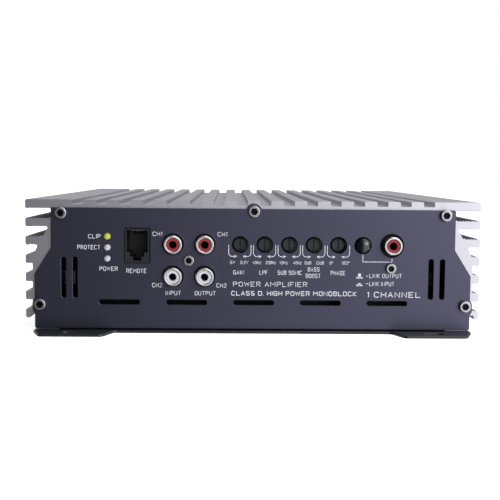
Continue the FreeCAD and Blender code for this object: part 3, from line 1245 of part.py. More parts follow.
# ================================================================ build
def parts():
    """Every node's name and its solid or list of solids."""
    reds = [place for place in jack_places() if place[1] == CONTROL_Z]
    whites = [place for place in jack_places() if place[1] != CONTROL_Z]
    lamps = led_places()
    made = {
        "heat_sink": heat_sink(),
        "front_panel": front_panel(),
        "rear_panel": rear_panel(),
        "base_plate": base_plate(),
        "front_panel_screws": panel_screws(PANEL_FACE, -1),
        "rear_panel_screws": panel_screws(REAR + PANEL_THICKNESS, 1),
        "jack_screws": jack_screws(),
        "base_screws": base_screws(),
        "insulating_sheet": insulating_sheet(),
        "main_board": main_board(),
        "board_standoffs": board_standoffs(),
        "board_screws": board_screws(),
        "preamp_board": preamp_board(),
        "board_header": board_header(),
        "driver_board": driver_board(),
        "rca_block": rca_block(),
        "rca_shells": [jack_shell(x, z) for x, z in jack_places()],
        "rca_inserts_red": [jack_insert(x, z) for x, z in reds],
        "rca_inserts_white": [jack_insert(x, z) for x, z in whites],
        "link_jack_body": link_jack_body(),
        "link_jack_shell": jack_shell(LINK_JACK_X, CONTROL_Z),
        "link_jack_insert": jack_insert(LINK_JACK_X, CONTROL_Z),
        "jack_contacts": jack_contacts(),
        "remote_jack_body": remote_jack_body(),
        "remote_jack_contacts": remote_jack_contacts(),
        "pot_bodies": pot_bodies(),
        "link_switch_body": link_switch_body(),
        "link_switch_button": link_switch_button(),
        "clip_led": lamp(*lamps[0]),
        "protect_led": lamp(*lamps[1]),
        "power_led": lamp(*lamps[2]),
        "transformer_core": toroid_core(TRANSFORMER_PLACE, TRANSFORMER),
        "transformer_winding": toroid_winding(TRANSFORMER_PLACE, TRANSFORMER),
        "inductor_core": toroid_core(INDUCTOR_PLACE, INDUCTOR),
        "inductor_winding": toroid_winding(INDUCTOR_PLACE, INDUCTOR),
        "supply_capacitors": can_field(SUPPLY_CANS),
        "rail_capacitors": can_field(RAIL_CANS),
        "filter_capacitors": filter_capacitors(),
        "transistors": both_sides([transistor(y) for y in TRANSISTOR_ROWS]),
        "thermal_pads": both_sides([thermal_pad()]),
        "clamp_bars": both_sides([clamp_bar()]),
        "clamp_screws": clamp_screws(),
        "power_terminal_body": terminal_body(POWER_POLES),
        "power_terminal_clamps": terminal_clamps(POWER_POLES),
        "speaker_terminal_body": terminal_body(SPEAKER_POLES),
        "speaker_terminal_clamps": terminal_clamps(SPEAKER_POLES),
        "fuse_holder": fuse_holder(),
        "fuse_left": fuse(FUSE_XS[0]),
        "fuse_right": fuse(FUSE_XS[1]),
    }
    for name, x in zip(KNOB_NAMES, KNOB_XS):
        made[name + "_shaft"] = shaft(x)
    for group, word in ((POWER_POLES, ""), (SPEAKER_POLES, "speaker_")):
        for name, offset, bore, screw in group["poles"]:
            made[word + name + "_set_screw"] = set_screw(group["x"] + offset, bore, screw)
    return made


def main():
    """Writes one STEP file for each node."""
    os.makedirs("parts", exist_ok=True)
    for name, made in parts().items():
        solids = made if isinstance(made, list) else [made]
        shape = Part.makeCompound(solids) if len(solids) > 1 else solids[0]
        if not shape.isValid() or not shape.Solids:
            raise ValueError(name + " is not a valid solid")
        shape.exportStep(os.path.join("parts", name + ".step"))
        print(name, len(shape.Solids), round(shape.Volume, 1))


main()
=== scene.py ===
"""Looks of a car amplifier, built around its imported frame.

Everything is in metres in the amplifier's own frame: +X to the right and +Y away from someone who
faces the control panel, +Z up, the origin under the middle of the amplifier. Names that end in _mm
hold millimetres. Each sub-assembly is a class that adds its own pieces and dresses its own nodes.
"""

from __future__ import annotations

import logging
import math
from dataclasses import dataclass
from enum import Enum

import bmesh
import bpy
import numpy as np
from mathutils import Matrix, Vector

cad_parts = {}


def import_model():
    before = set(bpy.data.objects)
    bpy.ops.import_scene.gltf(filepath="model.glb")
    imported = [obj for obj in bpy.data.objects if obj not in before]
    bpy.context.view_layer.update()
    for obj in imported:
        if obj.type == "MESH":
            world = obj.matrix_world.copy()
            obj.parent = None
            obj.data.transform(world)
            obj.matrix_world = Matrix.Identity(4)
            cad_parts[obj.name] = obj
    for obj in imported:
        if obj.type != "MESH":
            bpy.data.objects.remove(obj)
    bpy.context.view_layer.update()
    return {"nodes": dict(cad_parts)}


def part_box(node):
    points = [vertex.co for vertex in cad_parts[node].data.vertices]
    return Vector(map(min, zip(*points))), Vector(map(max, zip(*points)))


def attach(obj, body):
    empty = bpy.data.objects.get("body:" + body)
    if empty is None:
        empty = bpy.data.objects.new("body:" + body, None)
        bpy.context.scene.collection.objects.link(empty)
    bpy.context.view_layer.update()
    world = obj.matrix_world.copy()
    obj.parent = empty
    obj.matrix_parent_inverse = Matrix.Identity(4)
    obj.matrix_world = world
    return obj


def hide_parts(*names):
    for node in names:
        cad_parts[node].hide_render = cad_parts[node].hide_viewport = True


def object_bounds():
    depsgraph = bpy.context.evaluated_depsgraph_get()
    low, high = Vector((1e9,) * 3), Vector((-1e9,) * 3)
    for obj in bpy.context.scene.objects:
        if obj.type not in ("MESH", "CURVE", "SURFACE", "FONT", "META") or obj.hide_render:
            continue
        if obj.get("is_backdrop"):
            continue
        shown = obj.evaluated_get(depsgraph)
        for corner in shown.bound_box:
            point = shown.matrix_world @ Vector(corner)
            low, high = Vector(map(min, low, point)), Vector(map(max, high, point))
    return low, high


LOG = logging.getLogger("car_amplifier")
MM = 0.001
Tree = bpy.types.NodeTree
Node = bpy.types.Node
Socket = bpy.types.NodeSocket
Material = bpy.types.Material
Piece = bpy.types.Object
Shape = tuple[np.ndarray, np.ndarray]
Colour = tuple[float, float, float, float]


# ---------------------------------------------------------------- nodes of a material
def linear(code: str) -> Colour:
    """Turns an sRGB hex colour into the linear colour that a shader reads.

    Args:
        code: Six hex digits, such as "8c8c90".

    Returns:
        Red, green, blue and an alpha of one.
    """
    channels = [int(code[i:i + 2], 16) / 255 for i in (0, 2, 4)]
    curve = [c / 12.92 if c <= 0.04045 else ((c + 0.055) / 1.055) ** 2.4 for c in channels]
    return (*curve, 1.0)


def add_node(tree: Tree, kind: str, settings: dict, links: dict) -> Node:
    """Adds a node to a material.

    Args:
        tree: The material's node tree.
        kind: The node's type name.
        settings: Values for the node's own settings, or for its inputs by name or number.
        links: Output sockets, by the name or number of the input that each one feeds.

    Returns:
        The new node.
    """
    node = tree.nodes.new(kind)
    for key, value in settings.items():
        if isinstance(key, str) and hasattr(node, key):
            setattr(node, key, value)
        else:
            node.inputs[key].default_value = value
    for key, socket in links.items():
        tree.links.new(socket, node.inputs[key])
    return node


@dataclass(frozen=True)
class Finish:
    """A surface with a slow drift of colour and a fine grain.

    Attributes:
        name: The material's common name.
        colour: Main sRGB colour.
        drift: sRGB colour that the surface drifts towards in patches.
        metallic: 1 for bare metal, 0 for anything else.
        roughness: Middle roughness.
        spread: How far the grain moves the roughness either way.
        grain_mm: Size of the grain.
        stretch: Grain's length along X, Y and Z, as multiples of grain_mm.
        bump_mm: Height of the grain.
        patch_mm: Size of the patches of drift.
        coat: Strength of a clear coat.
    """

    name: str
    colour: str
    drift: str
    metallic: float = 0.0
    roughness: float = 0.5
    spread: float = 0.06
    grain_mm: float = 0.6
    stretch: tuple[float, float, float] = (1.0, 1.0, 1.0)
    bump_mm: float = 0.01
    patch_mm: float = 40.0
    coat: float = 0.0

    def material(self) -> Material:
        """Makes the material.

        Returns:
            A material that reads Object coordinates.
        """
        made = bpy.data.materials.new(self.name)
        made.use_nodes = True
        tree = made.node_tree
        shader = tree.nodes["Principled BSDF"]
        shader.inputs["Metallic"].default_value = self.metallic
        shader.inputs["Coat Weight"].default_value = self.coat
        place = add_node(tree, "ShaderNodeTexCoord", {}, {}).outputs["Object"]
        scale = [1 / s for s in self.stretch]
        grain_place = add_node(tree, "ShaderNodeMapping", {"Scale": scale}, {"Vector": place})
        grain = add_node(
            tree, "ShaderNodeTexNoise",
            {"Scale": 1 / (self.grain_mm * MM), "Detail": 3.0, "Roughness": 0.55},
            {"Vector": grain_place.outputs["Vector"]},
        )
        self.paint(tree, shader, place, grain)
        rough = add_node(
            tree, "ShaderNodeMapRange",
            {"From Min": 0.3, "From Max": 0.7, "To Min": self.roughness - self.spread,
             "To Max": self.roughness + self.spread},
            {"Value": grain.outputs["Fac"]},
        )
        tree.links.new(rough.outputs["Result"], shader.inputs["Roughness"])
        bump = add_node(
            tree, "ShaderNodeBump", {"Strength": 1.0, "Distance": self.bump_mm * MM},
            {"Height": grain.outputs["Fac"]},
        )
        tree.links.new(bump.outputs["Normal"], shader.inputs["Normal"])
        return made

    def paint(self, tree: Tree, shader: Node, place: Socket, grain: Node) -> None:
        """Feeds the shader's colour with patches of drift.

        Args:
            tree: The material's node tree.
            shader: Its shader.
            place: Object coordinates.
            grain: The grain's noise; not used here.
        """
        patches = add_node(
            tree, "ShaderNodeTexNoise",
            {"Scale": 1 / (self.patch_mm * MM), "Detail": 2.0}, {"Vector": place},
        )
        mix = add_node(
            tree, "ShaderNodeMix", {"data_type": "RGBA", 6: linear(self.colour), 7: linear(self.drift)},
            {"Factor": patches.outputs["Fac"]},
        )
        tree.links.new(mix.outputs[2], shader.inputs["Base Color"])


@dataclass(frozen=True)
class Resin(Finish):
    """Clear lamp resin.

    Attributes:
        glow: Strength of the light that the lamp gives.
        glow_colour: Colour of that light.
    """

    glow: float = 0.0
    glow_colour: str = "ffffff"

    def material(self) -> Material:
        """Makes the resin, with light inside it if it is lit.

        Returns:
            The material.
        """
        made = super().material()
        shader = made.node_tree.nodes["Principled BSDF"]
        shader.inputs["Transmission Weight"].default_value = 0.35
        shader.inputs["IOR"].default_value = 1.54
        shader.inputs["Emission Color"].default_value = linear(self.glow_colour)
        shader.inputs["Emission Strength"].default_value = self.glow
        return made


@dataclass(frozen=True)
class SolderMask(Finish):
    """Circuit board: solder mask, whose drift is its colour where copper lies under it.

    Attributes:
        track_mm: Spacing of the copper patches.
        edge: Where a patch ends, as shares of its spacing from its middle.
    """

    track_mm: float = 2.54
    edge: tuple[float, float] = (0.34, 0.38)

    def paint(self, tree: Tree, shader: Node, place: Socket, grain: Node) -> None:
        """Lighter square-cornered patches where the copper is: a cell pattern with sharp edges.

        Args:
            tree: The material's node tree.
            shader: Its shader.
            place: Object coordinates.
            grain: The grain's noise; not used here.
        """
        cells = add_node(
            tree, "ShaderNodeTexVoronoi",
            {"distance": "CHEBYCHEV", "feature": "F1", "Scale": 1 / (self.track_mm * MM)},
            {"Vector": place},
        )
        step = add_node(
            tree, "ShaderNodeMapRange",
            {"From Min": self.edge[0], "From Max": self.edge[1]}, {"Value": cells.outputs["Distance"]},
        )
        mix = add_node(
            tree, "ShaderNodeMix", {"data_type": "RGBA", 6: linear(self.drift), 7: linear(self.colour)},
            {"Factor": step.outputs["Result"]},
        )
        tree.links.new(mix.outputs[2], shader.inputs["Base Color"])


@dataclass(frozen=True)
class PaintedShadeSocketPlate(Finish):
    """Plated screw head with painted shade in its socket and a painted contact shadow at its base.

    Attributes:
        shadow: sRGB colour of the painted shade in the socket and the painted shadow where the head meets
            the panel.
        depth_mm: Distance from the amplifier's middle, along Y, below which painted shade covers the plate.
        blend_mm: How far the change reaches either way.
    """

    shadow: str = "1c1b20"
    depth_mm: float = 127.6
    blend_mm: float = 0.1

    def paint(self, tree: Tree, shader: Node, place: Socket, grain: Node) -> None:
        """Painted shade below the depth and plate colour above it, by the distance |Y|.

        Args:
            tree: The material's node tree.
            shader: Its shader.
            place: Object coordinates.
            grain: The grain's noise.
        """
        parts = add_node(tree, "ShaderNodeSeparateXYZ", {}, {"Vector": place})
        reach = add_node(tree, "ShaderNodeMath", {"operation": "ABSOLUTE"}, {0: parts.outputs["Y"]})
        step = add_node(
            tree, "ShaderNodeMapRange",
            {"From Min": (self.depth_mm - self.blend_mm) * MM,
             "From Max": (self.depth_mm + self.blend_mm) * MM},
            {"Value": reach.outputs["Value"]},
        )
        plate = add_node(
            tree, "ShaderNodeMix", {"data_type": "RGBA", 6: linear(self.colour), 7: linear(self.drift)},
            {"Factor": grain.outputs["Fac"]},
        )
        # painted shade in the socket and a painted contact shadow round the head's base, where |Y| is below
        # depth_mm
        mix = add_node(
            tree, "ShaderNodeMix", {"data_type": "RGBA", 6: linear(self.shadow)},
            {"Factor": step.outputs["Result"], 7: plate.outputs[2]},
        )
        tree.links.new(mix.outputs[2], shader.inputs["Base Color"])


class Surface(Enum):
    """Every finish of the amplifier."""

    # Clear-anodised aluminium extrusion: satin, with faint lines along the run that the die leaves.
    ANODISED_ALUMINIUM = Finish(
        "anodised_aluminium", "cfcdd6", "c4c2cc", 1.0, 0.38, 0.05, 0.5, (1.0, 60.0, 1.0), 0.008, 60.0
    )
    # Baked metallic paint on sheet steel: deep grey with a violet cast and a fine satin grain.
    METALLIC_PAINT = Finish(
        "baked_metallic_paint", "545366", "4f4e60", 1.0, 0.38, 0.06, 0.55, bump_mm=0.012, patch_mm=50.0
    )
    # Black electrostatic paint on sheet steel: semi-gloss, with slight orange peel.
    BLACK_PAINT = Finish("black_paint", "1b1b20", "17171b", 0.0, 0.36, 0.05, 0.9, bump_mm=0.01, coat=0.25)
    # Nickel plate: bright metal, a little satin, with faint turning marks.
    NICKEL_PLATE = Finish(
        "nickel_plate", "e2dfdf", "d2cfd0", 1.0, 0.34, 0.05, 0.25, bump_mm=0.004, patch_mm=4.0
    )
    # The same plate on socket screws: a clear ring round a socket darkened by painted shade.
    SCREW_PLATE_WITH_PAINTED_SHADE = PaintedShadeSocketPlate(
        "nickel_screw_plate_painted_shade", "b4b2b6", "a8a6aa", 1.0, 0.36, 0.05, 0.25, bump_mm=0.004
    )
    # Spring brass deep in the sockets, darkened nearly black as painted shade of the deep bores.
    BRASS_IN_PAINTED_SHADE = Finish("brass_painted_shade", "221e19", "1a1713", 0.4, 0.6, 0.05, 0.3)
    # Tinned spring wire: soft grey metal.
    TINNED_WIRE = Finish("tinned_wire", "8f9096", "828389", 1.0, 0.4, 0.05, 0.3)
    # Black oxide on alloy steel: dark, slightly blue, oily sheen.
    BLACK_OXIDE = Finish("black_oxide_steel", "1c1c20", "26262b", 0.85, 0.38, 0.07, 0.3, patch_mm=3.0)
    # Moulded ABS, spark-eroded mould: even fine grain.
    BLACK_ABS = Finish("black_abs", "111116", "0e0e13", 0.0, 0.5, 0.08, 0.35, bump_mm=0.02)
    # Polished black acetal: smooth button cap.
    BLACK_ACETAL = Finish("black_acetal", "0c0c12", "09090e", 0.0, 0.27, 0.03, 0.8, bump_mm=0.003, coat=0.4)
    # Glass-filled nylon shafts: nearly black and matt.
    DARK_NYLON = Finish("dark_nylon", "14141c", "1b1b24", 0.0, 0.42, 0.08, 0.3, bump_mm=0.015, patch_mm=3.0)
    # Glass-filled nylon bodies behind the panel: plain mid grey.
    GREY_NYLON = Finish("grey_nylon", "5a5b60", "505156", 0.0, 0.5, 0.06, 0.4, bump_mm=0.015)
    # Moulded polypropylene inserts: deep red and cool white, slightly soft gloss.
    RED_INSERT = Finish(
        "red_polypropylene", "86202d", "761a26", 0.0, 0.34, 0.04, 0.5, bump_mm=0.006, patch_mm=5.0
    )
    WHITE_INSERT = Finish(
        "white_polypropylene", "bdbdc7", "b1b1bc", 0.0, 0.34, 0.04, 0.5, bump_mm=0.006, patch_mm=5.0
    )
    # Epoxy lamp resin: the lit one glows yellow-green, the others stay clear.
    LIT_RESIN = Resin(
        "lit_epoxy_resin", "b4c05c", "a8b552", 0.0, 0.2, 0.03, 0.8, glow=0.12, glow_colour="c8d050"
    )
    CLEAR_RESIN = Resin("clear_epoxy_resin", "d4d6dc", "c6c8d0", 0.0, 0.12, 0.03, 0.8, bump_mm=0.003)
    # Glass-fibre board, green mask darkened as painted shade behind the vents; copper shows as lighter
    # squares.
    SOLDER_MASK = SolderMask("solder_mask", "0c1f16", "12301f", 0.0, 0.34, 0.05, 0.8)
    # Turned brass standoffs: warm and bright.
    BRASS = Finish("brass", "c9a558", "b8954c", 1.0, 0.28, 0.06, 0.3, patch_mm=5.0)
    # Polyester film: milky insulating sheet.
    POLYESTER_FILM = Finish("polyester_film", "cfccbf", "c4c1b4", 0.0, 0.38, 0.05, 1.5)
    # Manganese-zinc ferrite: fired ceramic, dull dark grey.
    FERRITE = Finish("ferrite", "35363a", "2b2c30", 0.0, 0.62, 0.08, 0.3, bump_mm=0.02, patch_mm=6.0)
    # Pressed iron powder under yellow epoxy paint.
    IRON_POWDER = Finish(
        "iron_powder_core", "d2b93a", "c4ab30", 0.0, 0.45, 0.06, 0.4, bump_mm=0.02, patch_mm=8.0
    )
    # Copper wire in polyurethane enamel: coppery with a clear glossy skin.
    ENAMELLED_COPPER = Finish(
        "enamelled_copper", "b5652f", "9d5426", 0.75, 0.27, 0.05, 0.4, patch_mm=3.0, coat=0.6
    )
    # Shrunk PVC sleeve on capacitors: dark blue, tight gloss.
    PVC_SLEEVE = Finish("pvc_sleeve", "18213c", "141c34", 0.0, 0.3, 0.05, 1.0, bump_mm=0.01, coat=0.3)
    # Epoxy-filled case of a film capacitor.
    RED_CASE = Finish("epoxy_case", "8e2b22", "7d241c", 0.0, 0.34, 0.05, 0.6, bump_mm=0.01)
    # Silicone rubber loaded with alumina: chalky grey-blue.
    SILICONE_PAD = Finish("silicone_pad", "9aa5ab", "8f9aa0", 0.0, 0.7, 0.05, 0.5, bump_mm=0.01)
    # Milled aluminium flat: fine cutter lines along the bar.
    MILLED_ALUMINIUM = Finish(
        "milled_aluminium", "c6c6c9", "bababd", 1.0, 0.34, 0.07, 0.35, (1.0, 30.0, 1.0), 0.01, 20.0
    )
    # Tinted polycarbonate of a thirty ampere blade fuse.
    GREEN_FUSE = Finish(
        "green_polycarbonate", "2f9a4b", "278a42", 0.0, 0.22, 0.04, 1.0, bump_mm=0.004, coat=0.3
    )
    # Screen-printing ink: flat pale grey, a little thin in places.
    PRINTING_INK = Finish(
        "printing_ink", "cfcfd6", "b9b9c2", 0.0, 0.6, 0.05, 0.2, bump_mm=0.005, patch_mm=0.8
    )


class Wardrobe:
    """Makes each finish's material once."""

    def __init__(self) -> None:
        """Starts with no materials."""
        self.made: dict[Surface, Material] = {}

    def material(self, surface: Surface) -> Material:
        """Gives a finish's material.

        Args:
            surface: The finish.

        Returns:
            The material, made on first use.
        """
        if surface not in self.made:
            self.made[surface] = surface.value.material()
        return self.made[surface]

    def dress(self, node: Piece, surface: Surface) -> None:
        """Puts a finish on a whole node.

        Args:
            node: The node.
            surface: Its finish.
        """
        node.data.materials.clear()
        node.data.materials.append(self.material(surface))
        LOG.info("dressed %s in %s", node.name, surface.value.name)


# ---------------------------------------------------------------- shapes as arrays
def joined(shapes: list[Shape]) -> Shape:
    """Joins shapes into one.

    Args:
        shapes: Pairs of an (n, 3) array of points and an (m, 4) array of faces.

    Returns:
        One pair, with the faces of later shapes counted on.
    """
    counts = np.cumsum([0] + [len(points) for points, _ in shapes])[:-1]
    points = np.concatenate([points for points, _ in shapes])
    faces = np.concatenate([faces + start for (_, faces), start in zip(shapes, counts)])
    return points, faces


def grid_faces(rows: int, columns: int) -> np.ndarray:
    """Faces of a grid whose columns close on themselves.

    Args:
        rows: Points along the grid.
        columns: Points round it.

    Returns:
        Faces that join each point to its neighbours, as (m, 4).
    """
    row = np.arange(rows - 1)[:, None]
    column = np.arange(columns)[None, :]
    following = (column + 1) % columns
    corners = [row * columns + column, row * columns + following]
    corners += [(row + 1) * columns + following, (row + 1) * columns + column]
    return np.stack([c.ravel() for c in corners], axis=1)


def swept_tube(path: np.ndarray, outward: np.ndarray, radius: float, sides: int) -> Shape:
    """Round wire along a closed path.

    At each point of the path the circle lies in the plane of the outward direction and of the cross
    product of the path's tangent with it: point + radius * (cos(a) * outward + sin(a) * across).

    Args:
        path: Points of the wire's centre line, the last one joined to the first.
        outward: Direction away from the core at each point, of length one.
        radius: The wire's radius.
        sides: Points round the wire.

    Returns:
        The tube.
    """
    tangent = np.roll(path, -1, axis=0) - np.roll(path, 1, axis=0)
    across = np.cross(tangent, outward)
    across /= np.linalg.norm(across, axis=1, keepdims=True)
    turn = np.linspace(0, 2 * np.pi, sides, endpoint=False)
    ring = np.cos(turn)[None, :, None] * outward[:, None, :]
    ring = ring + np.sin(turn)[None, :, None] * across[:, None, :]
    points = path[:, None, :] + radius * ring
    closed = np.concatenate([points, points[:1]])
    faces = grid_faces(len(closed), sides) % (len(path) * sides)
    return points.reshape(-1, 3), faces


def ribbon(outline: np.ndarray, width: float, low: float, high: float) -> Shape:
    """Flat printed line with square ends.

    Each corner moves out by half the width along the mean normal of its two runs, lengthened so that
    the runs keep their width. The point of a sharp corner is cut short.

    Args:
        outline: Points (x, z) of the line's middle.
        width: The line's width.
        low: Y of the face that meets the panel.
        high: Y of the face that shows.

    Returns:
        A closed strip.
    """
    runs = np.diff(outline, axis=0)
    runs /= np.linalg.norm(runs, axis=1, keepdims=True)
    normals = np.stack([-runs[:, 1], runs[:, 0]], axis=1)
    before = np.concatenate([normals[:1], normals])
    after = np.concatenate([normals, normals[-1:]])
    mean = before + after
    mean /= np.maximum(np.sum(mean * before, axis=1, keepdims=True), 0.5)
    left, right = outline + mean * width / 2, outline - mean * width / 2
    return upright_loops([left, right, right, left], [low, low, high, high])


def upright_loops(sides: list[np.ndarray], heights: list[float]) -> Shape:
    """Strip between four long edges, closed at both ends.

    Args:
        sides: Four arrays of (x, z), in order round the strip.
        heights: Y of each.

    Returns:
        The closed strip.
    """
    edges = [np.stack([s[:, 0], np.full(len(s), y), s[:, 1]], axis=1) for s, y in zip(sides, heights)]
    points = np.stack(edges, axis=1)
    faces = grid_faces(len(points), 4)
    last = (len(points) - 1) * 4
    ends = np.array([[3, 2, 1, 0], [last, last + 1, last + 2, last + 3]])
    return points.reshape(-1, 3), np.concatenate([faces, ends])


def arc(centre: tuple[float, float], radius: float, start: float, end: float, count: int = 7) -> np.ndarray:
    """Points (x, z) on an arc, with angles in degrees: centre + radius * (cos, sin)."""
    turn = np.radians(np.linspace(start, end, count))
    return np.stack([centre[0] + radius * np.cos(turn), centre[1] + radius * np.sin(turn)], axis=1)


def add_piece(name: str, shape: Shape, body: str, material: Material, smooth: bool) -> Piece:
    """Makes a mesh piece that rides on a body.

    Args:
        name: The piece's name.
        shape: Its points and faces.
        body: The body that it moves with.
        material: Its finish.
        smooth: Whether its faces are shaded as one curved surface.

    Returns:
        The piece.
    """
    points, faces = shape
    mesh = bpy.data.meshes.new(name)
    mesh.from_pydata(points.tolist(), [], faces.tolist())
    mesh.validate()
    mesh.polygons.foreach_set("use_smooth", np.full(len(mesh.polygons), smooth))
    mesh.materials.append(material)
    made = bpy.data.objects.new(name, mesh)
    bpy.context.scene.collection.objects.link(made)
    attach(made, body)
    LOG.info("made %s with %d faces", name, len(mesh.polygons))
    return made


# ---------------------------------------------------------------- printing
# Strokes of each printed letter, on a field mostly four steps wide and six high. Each run is a row of
# points, with the step to the right and the step up as two digits.
CAPITAL = 6
LETTER_GAP = 2.1
WORD_GAP = 3.0
LETTERS = {
    "A": "002640 1232", "B": "00063645443303 3342413000", "C": "4536160501103041",
    "D": "00063645413000", "E": "46060040 0333", "F": "460600 0333", "G": "45361605011030414323",
    "H": "0006 4046 0343", "I": "0006", "K": "0006 460340", "L": "060040", "M": "000623335650",
    "N": "00064046", "O": "26364541301001051626", "P": "00063645443303", "R": "00063645443303 2340",
    "S": "453616050413334241301001", "T": "0646 2620", "U": "060110304146", "V": "062046",
    "W": "061024344056", "d": "46401001031444", "z": "04440040", "0": "26364541301001051626",
    "1": "152620", "2": "05163645440040", "4": "30360242", "6": "4536160501103041423303",
    "8": "13040516364544331302011030414233", "+": "0343 2125", ".": "0001", "°": "0406262404", " ": "",
}


def letter_run(run: str) -> np.ndarray:
    """Points (x, y) of a run of two-digit steps."""
    return np.array([[float(run[k]), float(run[k + 1])] for k in range(0, len(run), 2)])


class Side(Enum):
    """End of the amplifier that a print is on. The value is the way that it faces along Y."""

    FRONT = -1
    REAR = 1


@dataclass
class Print:
    """Screen print on one end of the amplifier.

    Attributes:
        side: The end that it is on.
        face: Y of the surface under it.
        thickness: How far the ink stands out.
    """

    side: Side
    face: float
    thickness: float = 0.03 * MM

    def __post_init__(self) -> None:
        """Starts with no ink."""
        self.shapes: list[Shape] = []

    def word(
        self, text: str, middle_mm: tuple[float, float], size_mm: tuple[float, float], heavy: float
    ) -> None:
        """Prints a word in plain strokes.

        Args:
            text: The word.
            middle_mm: X and Z of its middle.
            size_mm: Its width and the height of its capitals.
            heavy: Width of its strokes, as a share of that height.
        """
        strokes, pen = [], 0.0
        for letter in text:
            runs = [letter_run(run) for run in LETTERS[letter].split()]
            if not runs:
                pen += WORD_GAP
                continue
            left = min(run[:, 0].min() for run in runs)
            right = max(run[:, 0].max() for run in runs)
            strokes += [run + np.array([pen - left, 0.0]) for run in runs]
            pen += right - left + LETTER_GAP
        stroke = heavy * size_mm[1]
        scale = (np.array(size_mm) - stroke) / np.array([pen - LETTER_GAP, CAPITAL])
        half = np.array([pen - LETTER_GAP, CAPITAL]) / 2
        way = np.array([-self.side.value, 1.0])
        for run in strokes:
            self.line(np.array(middle_mm) + (run - half) * scale * way, stroke)

    def line(self, outline_mm: np.ndarray, width_mm: float) -> None:
        """Prints a line.

        Args:
            outline_mm: Points (x, z) that it passes.
            width_mm: Its width.
        """
        high = self.face + self.side.value * self.thickness
        self.shapes.append(ribbon(outline_mm * MM, width_mm * MM, self.face, high))

    def arrowhead(self, tip_mm: tuple[float, float], toward: float, size_mm: float) -> None:
        """Prints a small wedge whose point is at tip.

        Args:
            tip_mm: X and Z of the point.
            toward: The way that it points, in degrees from +X.
            size_mm: Its length.
        """
        turn = math.radians(toward)
        ahead = np.array([math.cos(turn), math.sin(turn)])
        across = np.array([-ahead[1], ahead[0]])
        tip = np.array(tip_mm)
        back, spread, blunt_mm = tip - ahead * size_mm, 0.42, 0.04
        left = np.stack([back + across * size_mm * spread, tip + across * blunt_mm]) * MM
        right = np.stack([back - across * size_mm * spread, tip - across * blunt_mm]) * MM
        high = self.face + self.side.value * self.thickness
        self.shapes.append(upright_loops([left, right, right, left], [self.face, self.face, high, high]))

    def finished(self, name: str, body: str, material: Material) -> Piece:
        """Joins the words and lines into one piece.

        Args:
            name: The piece's name.
            body: The body that it moves with.
            material: The ink.

        Returns:
            The piece.
        """
        made = add_piece(name, joined(self.shapes), body, material, False)
        outward_faces(made)
        return made


def centre_mm(name: str) -> tuple[float, float]:
    """X and Z of the middle of a node's box, in millimetres."""
    low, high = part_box(name)
    return (low.x + high.x) / 2 / MM, (low.z + high.z) / 2 / MM


def outward_faces(piece: Piece) -> None:
    """Turns every face outwards.

    Args:
        piece: A piece of closed shells.
    """
    work = bmesh.new()
    work.from_mesh(piece.data)
    bmesh.ops.recalc_face_normals(work, faces=work.faces)
    work.to_mesh(piece.data)
    work.free()


# ---------------------------------------------------------------- sub-assemblies
@dataclass
class Enclosure:
    """Heat sink, end panels, base plate and their fasteners."""

    wardrobe: Wardrobe
    nodes: dict[str, Piece]

    def build(self) -> None:
        """Dresses the enclosure's nodes."""
        surfaces = {
            "heat_sink": Surface.ANODISED_ALUMINIUM,
            "front_panel": Surface.METALLIC_PAINT,
            "rear_panel": Surface.METALLIC_PAINT,
            "base_plate": Surface.BLACK_PAINT,
            "front_panel_screws": Surface.SCREW_PLATE_WITH_PAINTED_SHADE,
            "rear_panel_screws": Surface.SCREW_PLATE_WITH_PAINTED_SHADE,
            "jack_screws": Surface.SCREW_PLATE_WITH_PAINTED_SHADE,
            "base_screws": Surface.BLACK_OXIDE,
        }
        for name, surface in surfaces.items():
            self.wardrobe.dress(self.nodes[name], surface)


